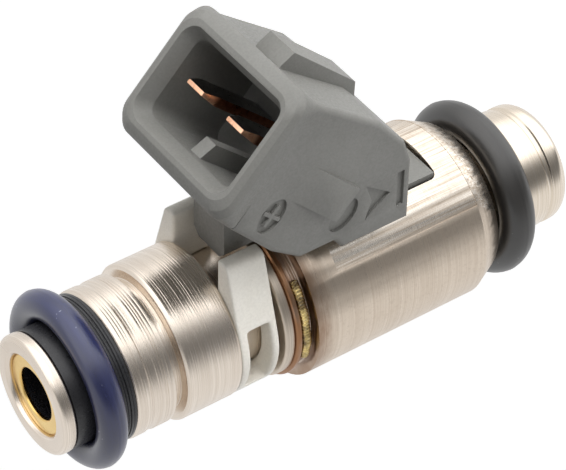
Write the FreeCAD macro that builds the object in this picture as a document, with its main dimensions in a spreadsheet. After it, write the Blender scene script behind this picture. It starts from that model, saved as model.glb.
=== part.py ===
"""Solenoid fuel injector for a port-injection petrol engine, as a parametric assembly.

Frame: the injector's axis is Z, with +Z towards the fuel inlet, and the electrical socket leans
towards +X. The origin is on the axis, at the middle of the plain nose land that enters the manifold.
Stations are distances along the axis, measured from the inlet face towards the nose.
"""
import FreeCAD, Part
import math
import os

import Sketcher

# name, value in millimetres or degrees, meaning
DIMENSIONS = [
    ("origin_station", 44.4, "inlet face to the middle of the nose land"),
    # inlet tube, which is also the fixed magnetic core
    ("flange_radius", 4.9, "inlet flange"),
    ("flange_end", 1.15, "inlet flange, lower face"),
    ("flange_round", 0.4, "inlet flange, edge rounding"),
    ("seal_neck_radius", 4.2, "neck under the inlet seal"),
    ("land_a_radius", 6.1, "first turned land"),
    ("land_a_start", 5.6, "first turned land, upper face"),
    ("land_a_end", 9.05, "first turned land, lower face"),
    ("waist_radius", 6.02, "shallow waist in the first land"),
    ("waist_start", 6.9, "waist, upper edge"),
    ("waist_end", 7.7, "waist, lower edge"),
    ("waist_slope", 0.1, "length of the waist's flanks"),
    ("clip_groove_radius", 5.4, "groove for the rail clip"),
    ("clip_groove_end", 9.9, "rail clip groove, lower face"),
    ("land_c_radius", 6.45, "second turned land"),
    ("land_c_end", 14.7, "second turned land, lower face"),
    ("land_chamfer", 0.3, "chamfer at the upper edge of both lands"),
    ("neck_radius", 4.6, "neck that carries the plastic clip and the rings"),
    ("core_start", 22.6, "fixed core, upper end"),
    ("core_radius", 3.75, "fixed core"),
    ("pole_face", 30.6, "fixed core, pole face"),
    ("filter_bore_radius", 3.35, "counterbore for the inlet filter"),
    ("filter_bore_end", 12.2, "counterbore, end of its wall"),
    ("core_bore_start", 13.0, "core bore, start of its wall"),
    ("core_bore_radius", 2.1, "core bore"),
    ("mouth_chamfer", 0.25, "chamfer in the inlet mouth"),
    # inlet seal
    ("spacer_hub_radius", 4.87, "black spacer, hub under the seal"),
    ("spacer_collar_radius", 6.0, "black spacer, collar below the seal"),
    ("spacer_collar_start", 4.6, "black spacer collar, upper face"),
    ("spacer_groove_radius", 5.9, "fine groove round the collar"),
    ("spacer_groove_start", 5.0, "collar groove, upper edge"),
    ("spacer_groove_end", 5.12, "collar groove, lower edge"),
    ("inlet_seal_ring", 6.07, "inlet seal, centre of its section"),
    ("inlet_seal_section", 1.2, "inlet seal, radius of its section"),
    ("inlet_seal_station", 3.3, "inlet seal, middle plane"),
    # inlet filter
    ("filter_ring_start", 0.45, "brass filter ring, upper face"),
    ("filter_ring_end", 0.8, "brass filter ring, lower face"),
    ("filter_collar_end", 3.0, "filter cage collar under the ring, lower face"),
    ("filter_ring_bore", 2.15, "brass filter ring, bore"),
    ("filter_dome_station", 4.4, "filter dome, centre of its sphere"),
    ("filter_dome_radius", 1.85, "filter dome"),
    ("filter_cage_start", 5.0, "filter cage, under side of the dome"),
    ("filter_cage_end", 10.8, "filter cage, top of its foot"),
    ("filter_foot_end", 12.0, "filter cage foot, lower face"),
    ("filter_foot_bore", 1.2, "filter cage foot, bore"),
    ("filter_rib_width", 0.5, "filter cage rib, width"),
    ("filter_rib_inner", 1.05, "filter cage rib, distance of its inner face from the axis"),
    ("filter_rib_outer", 1.62, "filter cage rib, distance of its outer face from the axis"),
    ("filter_leg_inner", 2.3, "filter cage leg, distance of its inner face from the axis"),
    ("filter_leg_outer", 2.9, "filter cage leg, distance of its outer face from the axis"),
    ("filter_leg_root", 0.3, "filter cage leg, length inside the collar and inside the foot"),
    ("mesh_outer", 1.85, "filter mesh, outer radius"),
    ("mesh_inner", 1.7, "filter mesh, inner radius"),
    # clip, rings and weld between the lands and the coil housing
    ("clip_start", 14.75, "plastic clip, upper face"),
    ("clip_end", 18.2, "plastic clip, lower face"),
    ("clip_radius", 6.4, "plastic clip, round back"),
    ("clip_bore", 4.65, "plastic clip, bore"),
    ("clip_slot", 2.9, "plastic clip, half width of its slot"),
    ("clip_top", 8.5, "plastic clip, height of its arms"),
    ("clip_top_half", 4.15, "plastic clip, half width over the arm tops"),
    ("clip_tangent_x", 1.84, "plastic clip, where arm and back meet"),
    ("clip_tangent_y", 6.13, "plastic clip, half width where arm and back meet"),
    ("clip_window_start", 15.55, "plastic clip window, upper edge"),
    ("clip_window_end", 17.55, "plastic clip window, lower edge"),
    ("clip_window_top", 2.75, "plastic clip window, end nearest the arm tops"),
    ("clip_window_bottom", 3.3, "plastic clip window, end nearest the back"),
    ("clip_arm_round", 0.7, "plastic clip, rounding of the arm tops"),
    ("ring_start", 18.65, "retaining ring, upper face"),
    ("ring_end", 19.5, "retaining ring, lower face"),
    ("ring_radius", 6.55, "retaining ring"),
    ("ring_chamfer", 0.15, "retaining ring, chamfer"),
    ("cap_radius", 6.85, "end cap, flange"),
    ("cap_flange_end", 20.0, "end cap flange, lower edge"),
    ("weld_groove_radius", 6.4, "end cap, floor of the weld groove"),
    ("cap_shoulder", 21.05, "end cap, shoulder on the housing"),
    ("weld_ring", 6.76, "weld bead, centre of its section"),
    ("weld_section", 0.36, "weld bead, radius of its section"),
    ("weld_station", 20.38, "weld bead, middle plane"),
    ("weld_first", -106.0, "weld bead, first angle about the axis"),
    ("weld_sweep", 61.0, "weld bead, angle swept"),
    # coil housing
    ("housing_radius", 7.5, "coil housing, outside"),
    ("housing_bore", 6.6, "coil housing, bore"),
    ("housing_bore_end", 35.6, "coil housing, end of the bore"),
    ("housing_cone_start", 37.1, "coil housing, start of the cone"),
    ("housing_end", 39.1, "coil housing, lower face"),
    ("housing_end_radius", 6.5, "coil housing, radius at the lower face"),
    ("window_half", 3.25, "housing window, half width"),
    ("window_start", 22.9, "housing window, upper edge"),
    ("window_end", 35.1, "housing window, lower edge"),
    ("window_round", 0.6, "housing window, corner radius"),
    ("relief_depth", 0.06, "sized strip under the socket, depth"),
    ("relief_start", 23.8, "sized strip, upper edge"),
    ("relief_half", 5.87, "sized strip, half width"),
    # valve body and nose
    ("valve_body_radius", 4.49, "valve body, outside and seal seat"),
    ("valve_body_start", 35.0, "valve body, upper face"),
    ("sleeve_end", 36.0, "non-magnetic sleeve, lower face"),
    ("sleeve_radius", 4.15, "non-magnetic sleeve, outside"),
    ("valve_bore", 2.6, "valve body, bore round the stem"),
    ("nose_start", 42.95, "nose sleeve, upper face"),
    ("nose_bore", 3.9, "nose sleeve, bore"),
    ("nose_radius", 5.05, "nose sleeve, plain land"),
    ("nose_groove_start", 45.4, "nose groove, upper edge"),
    ("nose_groove_end", 45.95, "nose groove, lower edge"),
    ("nose_groove_radius", 4.82, "nose groove, floor"),
    ("nose_lip", 46.6, "nose sleeve, inside of its lip"),
    ("nose_end", 47.7, "nose sleeve, lower face"),
    ("nose_mouth", 2.2, "nose sleeve, spray opening inside"),
    ("nose_mouth_flare", 2.8, "nose sleeve, spray opening outside"),
    ("nose_round", 1.05, "nose sleeve, rounding of its tip"),
    ("land_edge", 0.12, "nose sleeve, chamfer of its upper edge"),
    ("manifold_seal_ring", 5.94, "manifold seal, centre of its section"),
    ("manifold_seal_section", 1.45, "manifold seal, radius of its section"),
    ("manifold_seal_station", 41.4, "manifold seal, middle plane"),
    ("seat_radius", 3.2, "valve seat, outside"),
    ("seat_start", 43.7, "valve seat, upper face"),
    ("seat_bore", 2.0, "valve seat, bore round the ball"),
    ("seat_cone_start", 44.762, "valve seat, start of the cone"),
    ("seat_cone_end", 46.262, "valve seat, end of the cone"),
    ("seat_hole", 0.5, "valve seat, metering hole"),
    ("seat_end", 46.4, "valve seat, lower face"),
    ("orifice_hole", 0.15, "orifice plate, radius of a hole"),
    ("orifice_circle", 0.32, "orifice plate, radius of the ring of holes"),
    ("guide_start", 37.6, "stem guide, upper face"),
    ("guide_end", 38.6, "stem guide, lower face"),
    ("guide_bore", 1.33, "stem guide, bore"),
    ("guide_hole", 0.3, "stem guide, radius of a flow hole"),
    ("guide_circle", 1.96, "stem guide, radius of the ring of holes"),
    # moving valve
    ("armature_radius", 3.7, "armature"),
    ("armature_start", 30.7, "armature, upper face"),
    ("armature_end", 35.2, "armature, lower face"),
    ("armature_bore", 1.85, "armature, spring pocket"),
    ("spring_seat", 32.4, "armature, floor of the spring pocket"),
    ("armature_passage", 0.8, "armature, fuel passage"),
    ("stem_start", 33.4, "valve stem, upper face"),
    ("stem_radius", 1.3, "valve stem, outside"),
    ("stem_bore", 0.7, "valve stem, bore"),
    ("stem_cup", 42.8, "valve stem, start of the cup for the ball"),
    ("stem_end", 43.555, "valve stem, lower face"),
    ("ball_radius", 1.6, "valve ball"),
    ("ball_station", 44.495, "valve ball, centre"),
    # return spring and its adjusting tube
    ("adjuster_start", 20.0, "adjusting tube, upper face"),
    ("adjuster_end", 26.2, "adjusting tube, lower face"),
    ("adjuster_bore", 1.2, "adjusting tube, bore"),
    ("spring_radius", 1.5, "return spring, mean radius of the coil"),
    ("spring_wire", 0.22, "return spring, radius of the wire"),
    ("spring_turns", 5.0, "return spring, number of turns"),
    # coil
    ("bobbin_bore", 4.2, "bobbin, bore"),
    ("bobbin_barrel", 4.7, "bobbin, outside of the barrel"),
    ("bobbin_flange", 6.5, "bobbin, flanges"),
    ("bobbin_start", 22.7, "bobbin, upper face"),
    ("winding_start", 24.0, "winding, upper face"),
    ("winding_end", 32.6, "winding, lower face"),
    ("winding_radius", 6.1, "winding, outside"),
    ("bobbin_end", 34.9, "bobbin, lower face"),
    # connector body, in the plane of the axis and the socket
    ("body_half", 6.47, "connector body, half width"),
    ("back_face", 29.85, "connector body, end face towards the nose"),
    ("underside", 7.62, "connector body, underside over the housing"),
    ("recess_underside", 8.66, "connector body, underside over the rings"),
    ("recess_end", 22.92, "connector body, end of the recessed underside"),
    ("heel_end", 23.7, "connector body, start of the low underside"),
    ("recess_start", 19.75, "connector body, start of the recessed underside"),
    ("chin_x", 10.5, "connector body, lower chin, distance from the axis"),
    ("chin_station", 17.3, "connector body, lower chin"),
    ("lower_lip_x", 14.62, "connector body, lower lip, distance from the axis"),
    ("lower_lip_station", 13.64, "connector body, lower lip"),
    ("upper_lip_x", 22.91, "connector body, upper lip, distance from the axis"),
    ("upper_lip_station", 21.03, "connector body, upper lip"),
    ("brow_x", 18.41, "connector body, brow, distance from the axis"),
    ("brow_station", 26.83, "connector body, brow"),
    ("crown_x", 15.44, "connector body, crown, distance from the axis"),
    ("crown_station", 29.2, "connector body, crown"),
    ("shoulder_x", 13.42, "connector body, top of the end face"),
    ("crown_round", 1.2, "connector body, rounding of brow, crown and shoulder"),
    ("side_round", 0.5, "connector body, rounding along the side panels"),
    ("tongue_half", 2.0, "tongue between the clip's arms, half width"),
    ("tongue_start", 16.0, "tongue, upper face"),
    ("tongue_end", 21.0, "tongue, lower face"),
    ("tongue_bottom", 6.9, "tongue, distance of its foot from the axis"),
    ("tongue_top", 12.5, "tongue, top inside the connector body"),
    ("tongue_chamfer", 0.65, "tongue, chamfer of its foot"),
    ("stalk_half", 3.0, "stalk through the window, half width"),
    ("stalk_start", 23.2, "stalk, upper face"),
    ("stalk_end", 34.9, "foot in the housing window, lower face"),
    ("stalk_bottom", 6.55, "stalk, distance of its foot from the axis"),
    ("stalk_top", 9.0, "stalk, top inside the connector body"),
    ("foot_top", 7.05, "stalk's foot in the window, distance from the axis"),
    # socket, in its own tilted frame
    ("mouth_x", 20.73, "socket mouth, distance from the axis"),
    ("mouth_station", 15.61, "socket mouth, station"),
    ("socket_lean", 43.56, "angle from the injector's axis to the socket's"),
    ("rim_half_width", 6.38, "socket rim, half width"),
    ("rim_half_height", 4.6, "socket rim, half height"),
    ("rim_round", 1.6, "socket rim, corner radius"),
    ("flare_depth", 0.35, "socket collar, depth of the flare behind the rim"),
    ("flare_half_width", 6.78, "socket collar, half width of the flare"),
    ("flare_half_height", 5.2, "socket collar, half height of the flare"),
    ("collar_half_height", 5.6, "socket collar, half height"),
    ("collar_round", 1.6, "socket collar, corner radius"),
    ("collar_depth", 0.9, "socket collar, depth of its widest line"),
    ("collar_half_mid", 7.0, "socket collar, half width at its widest line"),
    ("collar_base", 2.7, "socket collar, depth of its root"),
    ("collar_half_base", 6.47, "socket collar, half width at its root"),
    ("collar_base_height", 5.525, "socket collar, half height at its root"),
    ("collar_base_round", 0.5, "socket collar, corner radius at its root"),
    ("collar_shift", 0.235, "socket collar, offset of its root"),
    ("throat_half_width", 5.27, "socket cavity, half width"),
    ("throat_half_height", 3.47, "socket cavity, half height"),
    ("throat_round", 1.0, "socket cavity, corner radius"),
    ("throat_depth", 1.3, "socket, depth of the lead-in"),
    ("lip_width", 0.16, "socket rim, flat left at its edge"),
    ("socket_depth", 9.3, "socket cavity, depth"),
    ("key_half", 0.6, "keying rib, half width"),
    ("key_height", 1.4, "keying rib, height"),
    ("key_start", 2.2, "keying rib, depth of its front"),
    ("key_slope", 0.6, "keying rib, slope of its front"),
    ("wedge_half", 1.5, "latch wedge, half width"),
    ("wedge_front", 2.45, "latch wedge, depth of its front"),
    ("wedge_crest", 2.85, "latch wedge, depth where its top begins"),
    ("wedge_back", 10.6, "latch wedge, depth of its back edge"),
    ("wedge_foot", 11.7, "latch wedge, depth where it meets the body"),
    ("wedge_height", 6.85, "latch wedge, height over the socket axis"),
    ("wedge_low", 5.6, "latch wedge, height at its foot"),
    ("wedge_root", 4.6, "latch wedge, root inside the body"),
    # side panel marks
    ("ramp_front", 6.3, "locking ramp, depth of its front edge"),
    ("ramp_crest", 10.1, "locking ramp, depth of its crest"),
    ("ramp_back", 11.3, "locking ramp, depth of its back"),
    ("ramp_height", 0.7, "locking ramp, height over the side panel"),
    ("ramp_low", 1.95, "locking ramp, edge nearest the inlet"),
    ("ramp_high", 1.05, "locking ramp, edge farthest from the inlet"),
    ("ramp_root", 5.4, "locking ramp, root inside the body"),
    ("mark_depth", 0.25, "depth of the moulded marks"),
    ("oval_long", 1.55, "moulded oval, half length"),
    ("oval_short", 1.05, "moulded oval, half width"),
    ("plus_oval_depth", 5.5, "first oval, depth from the socket mouth"),
    ("plus_oval_side", 3.65, "first oval, offset from the socket axis"),
    ("plain_oval_depth", 12.45, "second oval, depth from the socket mouth"),
    ("plain_oval_side", 1.5, "second oval, offset from the socket axis"),
    ("plus_arm", 0.95, "plus mark, half length of an arm"),
    ("plus_width", 0.16, "plus mark, half width of an arm"),
    ("bar_top", 12.8, "moulded bar, end farthest from the axis"),
    ("bar_bottom", 9.4, "moulded bar, end nearest the axis"),
    ("bar_start", 28.5, "moulded bar, upper edge"),
    ("bar_end", 29.15, "moulded bar, lower edge"),
    ("arrow_x", 11.2, "moulded arrow, distance of its middle from the axis"),
    ("arrow_start", 25.6, "moulded arrow, ends of its barbs"),
    ("arrow_notch", 26.2, "moulded arrow, notch between its barbs"),
    ("arrow_end", 27.9, "moulded arrow, tip"),
    ("arrow_half", 1.7, "moulded arrow, half width"),
    # terminals
    ("blade_pitch", 5.0, "distance between the two blades"),
    ("blade_width", 2.8, "blade, width"),
    ("blade_thickness", 0.8, "blade, thickness"),
    ("blade_tip", 1.9, "blade, width of its tip"),
    ("blade_tip_thickness", 0.36, "blade, thickness of its tip"),
    ("blade_bevel", 2.2, "blade, depth where its full thickness begins"),
    ("blade_start", 0.8, "blade, depth of its tip"),
    ("blade_taper", 2.4, "blade, depth where its full width begins"),
    ("blade_end", 12.0, "blade, depth where its tail begins"),
    ("blade_offset", 0.44, "blades, height over the socket axis"),
    ("tail_inner", 1.5, "blade tail, side nearest the middle plane"),
    ("tail_outer", 2.6, "blade tail, side farthest from the middle plane"),
    ("tail_end", 18.4, "blade tail, depth of its end"),
    ("pin_top", 8.4, "coil pin, distance of its top from the axis"),
    ("pin_bottom", 6.1, "coil pin, distance of its foot from the axis"),
    ("pin_station", 29.4, "coil pin, lower face"),
    ("pin_width", 0.7, "coil pin, side of its square section"),
]

MATING_CLEARANCE = 1e-6
FULL_TURN = 360.0

document = FreeCAD.newDocument("fuel_injector")
sheet = document.addObject("Spreadsheet::Sheet", "dims")
value_of = {}
for row, (alias, number, meaning) in enumerate(DIMENSIONS, start=1):
    sheet.set("A%d" % row, meaning)
    sheet.set("B%d" % row, str(number))
    sheet.setAlias("B%d" % row, alias)
    value_of[alias] = number
document.recompute()


def amount(term):
    """The value of a sum such as 'a + b - c', whose words are aliases of the sheet."""
    total, sign = 0.0, 1.0
    for word in term.split():
        if word in ("+", "-"):
            sign = 1.0 if word == "+" else -1.0
        elif "/" in word:
            alias, divisor = word.split("/")
            total += sign * value_of[alias] / float(divisor)
        else:
            total += sign * value_of[word]
    return total


def formula(term):
    """The same sum as an expression for FreeCAD."""
    return " ".join(word if word in ("+", "-") else "dims." + word for word in term.split())


def split_sign(term):
    """'-(sum)' and '-alias' stand for the negative side; returns the sign and the sum inside."""
    if term.startswith("-"):
        return -1, term[1:].strip("()")
    return 1, term


def negative(term):
    """The mirror image of a coordinate on the positive side."""
    return "-(" + term + ")"


def bind(item, path, term, unit=""):
    """Ties one property of an object to the sheet."""
    item.setExpression(path, "(" + formula(term) + ")" + unit)


def origin_plane(body, role):
    """One of the body's own origin planes."""
    return next(item for item in body.Origin.OriginFeatures if item.Role == role)


def new_body(label, tilted=False):
    """A body whose origin is the inlet face, or the socket mouth when tilted."""
    body = document.addObject("PartDesign::Body", label)
    body.Label = label
    if tilted:
        body.Placement.Rotation = FreeCAD.Rotation(FreeCAD.Vector(0, 1, 0), value_of["socket_lean"])
        bind(body, "Placement.Rotation.Angle", "socket_lean", " * 1 deg")
        bind(body, "Placement.Base.x", "mouth_x", " * 1 mm")
        bind(body, "Placement.Base.z", "origin_station - mouth_station", " * 1 mm")
    else:
        bind(body, "Placement.Base.z", "origin_station", " * 1 mm")
    return body


def new_sketch(body, role, name, offset=None):
    """A sketch on one of the body's own planes, raised by an offset along its normal."""
    sketch = body.newObject("Sketcher::SketchObject", name)
    sketch.AttachmentSupport = [(origin_plane(body, role), "")]
    sketch.MapMode = "FlatFace"
    if offset:
        sign, term = split_sign(offset)
        expression = "%d * (%s) * 1 mm" % (sign, formula(term))
        sketch.setExpression("AttachmentOffset.Base.z", expression)
    return sketch


def signed(term):
    """A coordinate's value; 'zero' lies on the axis."""
    if term == "zero":
        return 0.0
    sign, inner = split_sign(term)
    return sign * amount(inner)


def pin_point(sketch, geometry, position, across, along):
    """Ties one point of a sketch to the sheet, across and along the sketch's axes."""
    for kind, axis, term in (("DistanceX", -2, across), ("DistanceY", -1, along)):
        if term == "zero":
            sketch.addConstraint(Sketcher.Constraint("PointOnObject", geometry, position, axis))
            continue
        sign, inner = split_sign(term)
        ends = (-1, 1, geometry, position) if sign > 0 else (geometry, position, -1, 1)
        index = sketch.addConstraint(Sketcher.Constraint(kind, *ends, amount(inner)))
        sketch.setExpression("Constraints[%d]" % index, formula(inner))


def draw_outline(sketch, corners):
    """A closed outline of straight lines through corners given as sheet sums."""
    points = [FreeCAD.Vector(signed(across), signed(along), 0) for across, along in corners]
    first = sketch.GeometryCount
    for index, point in enumerate(points):
        sketch.addGeometry(Part.LineSegment(point, points[(index + 1) % len(points)]), False)
    for index, (across, along) in enumerate(corners):
        before = first + (index - 1) % len(points)
        sketch.addConstraint(Sketcher.Constraint("Coincident", before, 2, first + index, 1))
        pin_point(sketch, first + index, 1, across, along)


def draw_circle(sketch, radius, across="zero", along="zero"):
    """A circle whose radius and centre are sheet sums."""
    centre = FreeCAD.Vector(signed(across), signed(along), 0)
    circle = Part.Circle(centre, FreeCAD.Vector(0, 0, 1), amount(radius))
    geometry = sketch.addGeometry(circle, False)
    pin_point(sketch, geometry, 3, across, along)
    index = sketch.addConstraint(Sketcher.Constraint("Radius", geometry, amount(radius)))
    sketch.setExpression("Constraints[%d]" % index, formula(radius))


def rectangle(half_across, low, high):
    """Corners of a rectangle that is symmetric about the sketch's vertical axis."""
    other = negative(half_across)
    return [(other, low), (half_across, low), (half_across, high), (other, high)]


def turned(label, profile):
    """A turned piece: (radius, station) corners revolved about the injector's axis."""
    body = new_body(label)
    sketch = new_sketch(body, "XZ_Plane", label + "_profile")
    corners = []
    for radius, station in profile:
        corners.append((radius, "zero" if station == "zero" else negative(station)))
    draw_outline(sketch, corners)
    spin(body, sketch, label + "_turning")
    return body


def spin(body, sketch, name):
    """A full turn of a sketch about its vertical axis."""
    revolution = body.newObject("PartDesign::Revolution", name)
    revolution.Profile = sketch
    revolution.ReferenceAxis = (sketch, ["V_Axis"])
    revolution.Angle = FULL_TURN
    document.recompute()


def pad(body, sketch, name, length, reverse=False, midplane=False):
    """A pad whose length is a sheet sum."""
    feature = body.newObject("PartDesign::Pad", name)
    feature.Profile = sketch
    feature.Reversed = reverse
    if midplane:
        feature.SideType = "Symmetric"
    bind(feature, "Length", length, " * 1 mm")
    document.recompute()
    return feature


def pocket(body, sketch, name, length, reverse=False, midplane=False):
    """A pocket whose depth is a sheet sum; it has to take material away."""
    before = body.Shape.Volume
    feature = body.newObject("PartDesign::Pocket", name)
    feature.Profile = sketch
    feature.Reversed = reverse
    if midplane:
        feature.SideType = "Symmetric"
    bind(feature, "Length", length, " * 1 mm")
    document.recompute()
    assert body.Shape.Volume < before - MATING_CLEARANCE, name + " cut nothing"
    return feature


def circle_edges(feature, radius, height, tolerance=0.02):
    """Names of the full circular edges of one radius at one height of a body's own frame."""
    names = []
    for number, edge in enumerate(feature.Shape.Edges, start=1):
        curve = edge.Curve
        if not isinstance(curve, Part.Circle):
            continue
        if abs(curve.Radius - radius) < tolerance and abs(curve.Center.z - height) < tolerance:
            names.append("Edge%d" % number)
    return names


def round_edges(body, base, name, names, radius):
    """A fillet along named edges."""
    assert names, name + " found no edges"
    feature = body.newObject("PartDesign::Fillet", name)
    feature.Base = (base, names)
    bind(feature, "Radius", radius, " * 1 mm")
    document.recompute()
    return feature


def torus(label, ring, section, station):
    """A rubber ring."""
    ring_object = document.addObject("Part::Torus", label)
    ring_object.Label = label
    bind(ring_object, "Radius1", ring, " * 1 mm")
    bind(ring_object, "Radius2", section, " * 1 mm")
    bind(ring_object, "Placement.Base.z", "origin_station - " + station, " * 1 mm")
    return ring_object


def make_inlet_tube():
    """Inlet tube: flange, seal neck, two lands, clip neck and fixed core, turned in one piece."""
    body = turned("inlet_tube", [
        ("filter_bore_radius + mouth_chamfer", "zero"),
        ("flange_radius", "zero"),
        ("flange_radius", "flange_end"),
        ("seal_neck_radius", "flange_end"),
        ("seal_neck_radius", "land_a_start"),
        ("land_a_radius - land_chamfer", "land_a_start"),
        ("land_a_radius", "land_a_start + land_chamfer"),
        ("land_a_radius", "waist_start"),
        ("waist_radius", "waist_start + waist_slope"),
        ("waist_radius", "waist_end - waist_slope"),
        ("land_a_radius", "waist_end"),
        ("land_a_radius", "land_a_end"),
        ("clip_groove_radius", "land_a_end"),
        ("clip_groove_radius", "clip_groove_end"),
        ("land_c_radius - land_chamfer", "clip_groove_end"),
        ("land_c_radius", "clip_groove_end + land_chamfer"),
        ("land_c_radius", "land_c_end"),
        ("neck_radius", "land_c_end"),
        ("neck_radius", "core_start"),
        ("core_radius", "core_start"),
        ("core_radius", "pole_face"),
        ("core_bore_radius", "pole_face"),
        ("core_bore_radius", "core_bore_start"),
        ("filter_bore_radius", "filter_bore_end"),
        ("filter_bore_radius", "mouth_chamfer"),
    ])
    base = body.Tip
    rim = circle_edges(base, value_of["flange_radius"], 0.0)
    rim += circle_edges(base, value_of["flange_radius"], -value_of["flange_end"])
    round_edges(body, base, "inlet_flange_rounding", rim, "flange_round")


def make_inlet_seal():
    """Black spacer with its blue rubber ring."""
    turned("inlet_spacer", [
        ("seal_neck_radius", "flange_end"),
        ("spacer_hub_radius", "flange_end"),
        ("spacer_hub_radius", "spacer_collar_start"),
        ("spacer_collar_radius", "spacer_collar_start"),
        ("spacer_collar_radius", "spacer_groove_start"),
        ("spacer_groove_radius", "spacer_groove_start"),
        ("spacer_groove_radius", "spacer_groove_end"),
        ("spacer_collar_radius", "spacer_groove_end"),
        ("spacer_collar_radius", "land_a_start"),
        ("seal_neck_radius", "land_a_start"),
    ])
    torus("inlet_oring", "inlet_seal_ring", "inlet_seal_section", "inlet_seal_station")


def make_filter():
    """Inlet filter: brass ring, plastic cage with a collar, legs, a foot and a dome, and its mesh."""
    turned("filter_ring", [
        ("filter_ring_bore", "filter_ring_start"),
        ("filter_bore_radius", "filter_ring_start"),
        ("filter_bore_radius", "filter_ring_end"),
        ("filter_ring_bore", "filter_ring_end"),
    ])
    body = turned("filter_frame", [
        ("filter_foot_bore", "filter_cage_end"),
        ("filter_bore_radius", "filter_cage_end"),
        ("filter_bore_radius", "filter_foot_end"),
        ("filter_foot_bore", "filter_foot_end"),
    ])
    ribs = new_sketch(body, "XY_Plane", "filter_rib_section", "-filter_foot_end")
    draw_outline(ribs, [
        ("filter_rib_inner", "-filter_rib_width/2"),
        ("filter_rib_outer", "-filter_rib_width/2"),
        ("filter_rib_outer", "filter_rib_width/2"),
        ("filter_rib_inner", "filter_rib_width/2"),
    ])
    rib = pad(body, ribs, "filter_rib", "filter_foot_end - filter_dome_station")
    repeat_round(body, rib, ribs, "filter_ribs")
    legs = new_sketch(body, "XY_Plane", "filter_leg_section", "-(filter_cage_end + filter_leg_root)")
    draw_outline(legs, [
        ("filter_leg_inner", "-filter_rib_width/2"),
        ("filter_leg_outer", "-filter_rib_width/2"),
        ("filter_leg_outer", "filter_rib_width/2"),
        ("filter_leg_inner", "filter_rib_width/2"),
    ])
    length = "filter_cage_end + filter_leg_root + filter_leg_root - filter_collar_end"
    leg = pad(body, legs, "filter_leg", length)
    repeat_round(body, leg, legs, "filter_legs")
    collar = new_sketch(body, "XZ_Plane", "filter_collar_profile")
    draw_outline(collar, [
        ("filter_ring_bore", "-filter_ring_end"),
        ("filter_bore_radius", "-filter_ring_end"),
        ("filter_bore_radius", "-filter_collar_end"),
        ("filter_ring_bore", "-filter_collar_end"),
    ])
    spin(body, collar, "filter_collar")
    dome = new_sketch(body, "XZ_Plane", "filter_dome_profile")
    draw_dome(dome)
    spin(body, dome, "filter_dome")
    turned("filter_mesh", [
        ("mesh_inner", "filter_cage_start"),
        ("mesh_outer", "filter_cage_start"),
        ("mesh_outer", "filter_cage_end"),
        ("mesh_inner", "filter_cage_end"),
    ])


def draw_dome(sketch):
    """Quarter-round cap over a short straight wall, closed along the axis."""
    radius = value_of["filter_dome_radius"]
    centre = -value_of["filter_dome_station"]
    base = -value_of["filter_cage_start"]
    top = FreeCAD.Vector(0, centre + radius, 0)
    side = FreeCAD.Vector(radius, centre, 0)
    middle = FreeCAD.Vector(0, centre, 0) + FreeCAD.Vector(1, 1, 0).normalize() * radius
    arc = Part.Arc(side, middle, top)
    sketch.addGeometry(arc, False)
    sketch.addGeometry(Part.LineSegment(top, FreeCAD.Vector(0, base, 0)), False)
    sketch.addGeometry(Part.LineSegment(FreeCAD.Vector(0, base, 0), FreeCAD.Vector(radius, base, 0)), False)
    sketch.addGeometry(Part.LineSegment(FreeCAD.Vector(radius, base, 0), side), False)
    for first, first_end, second, second_end in ((0, 2, 1, 1), (1, 2, 2, 1), (2, 2, 3, 1), (3, 2, 0, 1)):
        sketch.addConstraint(Sketcher.Constraint("Coincident", first, first_end, second, second_end))
    pin_point(sketch, 0, 3, "zero", "-filter_dome_station")
    sketch.addConstraint(Sketcher.Constraint("PointOnObject", 0, 2, -2))
    pin_point(sketch, 2, 1, "zero", "-filter_cage_start")
    pin_point(sketch, 2, 2, "filter_dome_radius", "-filter_cage_start")
    pin_point(sketch, 3, 2, "filter_dome_radius", "-filter_dome_station")


def make_clip():
    """Plastic clip round the neck: a round back, two arms beside the tongue, and side windows."""
    body = new_body("clip")
    back = new_sketch(body, "XY_Plane", "clip_back", "-clip_end")
    draw_circle(back, "clip_radius")
    pad(body, back, "clip_back_pad", "clip_end - clip_start")
    arms = new_sketch(body, "XY_Plane", "clip_arms", "-clip_end")
    draw_outline(arms, [
        ("zero", "-clip_top_half"),
        ("clip_tangent_x", "-clip_tangent_y"),
        ("clip_top", "-clip_top_half"),
        ("clip_top", "clip_top_half"),
        ("clip_tangent_x", "clip_tangent_y"),
        ("zero", "clip_top_half"),
    ])
    pad(body, arms, "clip_arm_pad", "clip_end - clip_start")
    hole = new_sketch(body, "XY_Plane", "clip_hole", "-clip_end")
    draw_circle(hole, "clip_bore")
    pocket(body, hole, "clip_hole_cut", "clip_end - clip_start", reverse=True)
    slot = new_sketch(body, "XY_Plane", "clip_slot", "-clip_end")
    draw_outline(slot, [
        ("zero", "-clip_slot"),
        ("clip_top + clip_arm_round", "-clip_slot"),
        ("clip_top + clip_arm_round", "clip_slot"),
        ("zero", "clip_slot"),
    ])
    pocket(body, slot, "clip_slot_cut", "clip_end - clip_start", reverse=True)
    window = new_sketch(body, "XZ_Plane", "clip_window")
    draw_outline(window, [
        ("-clip_window_bottom", "-clip_window_end"),
        ("clip_window_top", "-clip_window_end"),
        ("clip_window_top", "-clip_window_start"),
        ("-clip_window_bottom", "-clip_window_start"),
    ])
    cut = pocket(body, window, "clip_window_cut", "clip_radius + clip_radius + clip_radius", midplane=True)
    top_edges = []
    for number, edge in enumerate(cut.Shape.Edges, start=1):
        at_top = all(abs(vertex.X - value_of["clip_top"]) < 0.01 for vertex in edge.Vertexes)
        at_side = all(abs(abs(vertex.Y) - value_of["clip_top_half"]) < 0.01 for vertex in edge.Vertexes)
        if at_top and at_side:
            top_edges.append("Edge%d" % number)
    round_edges(body, cut, "clip_arm_rounding", top_edges, "clip_arm_round")


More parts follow.
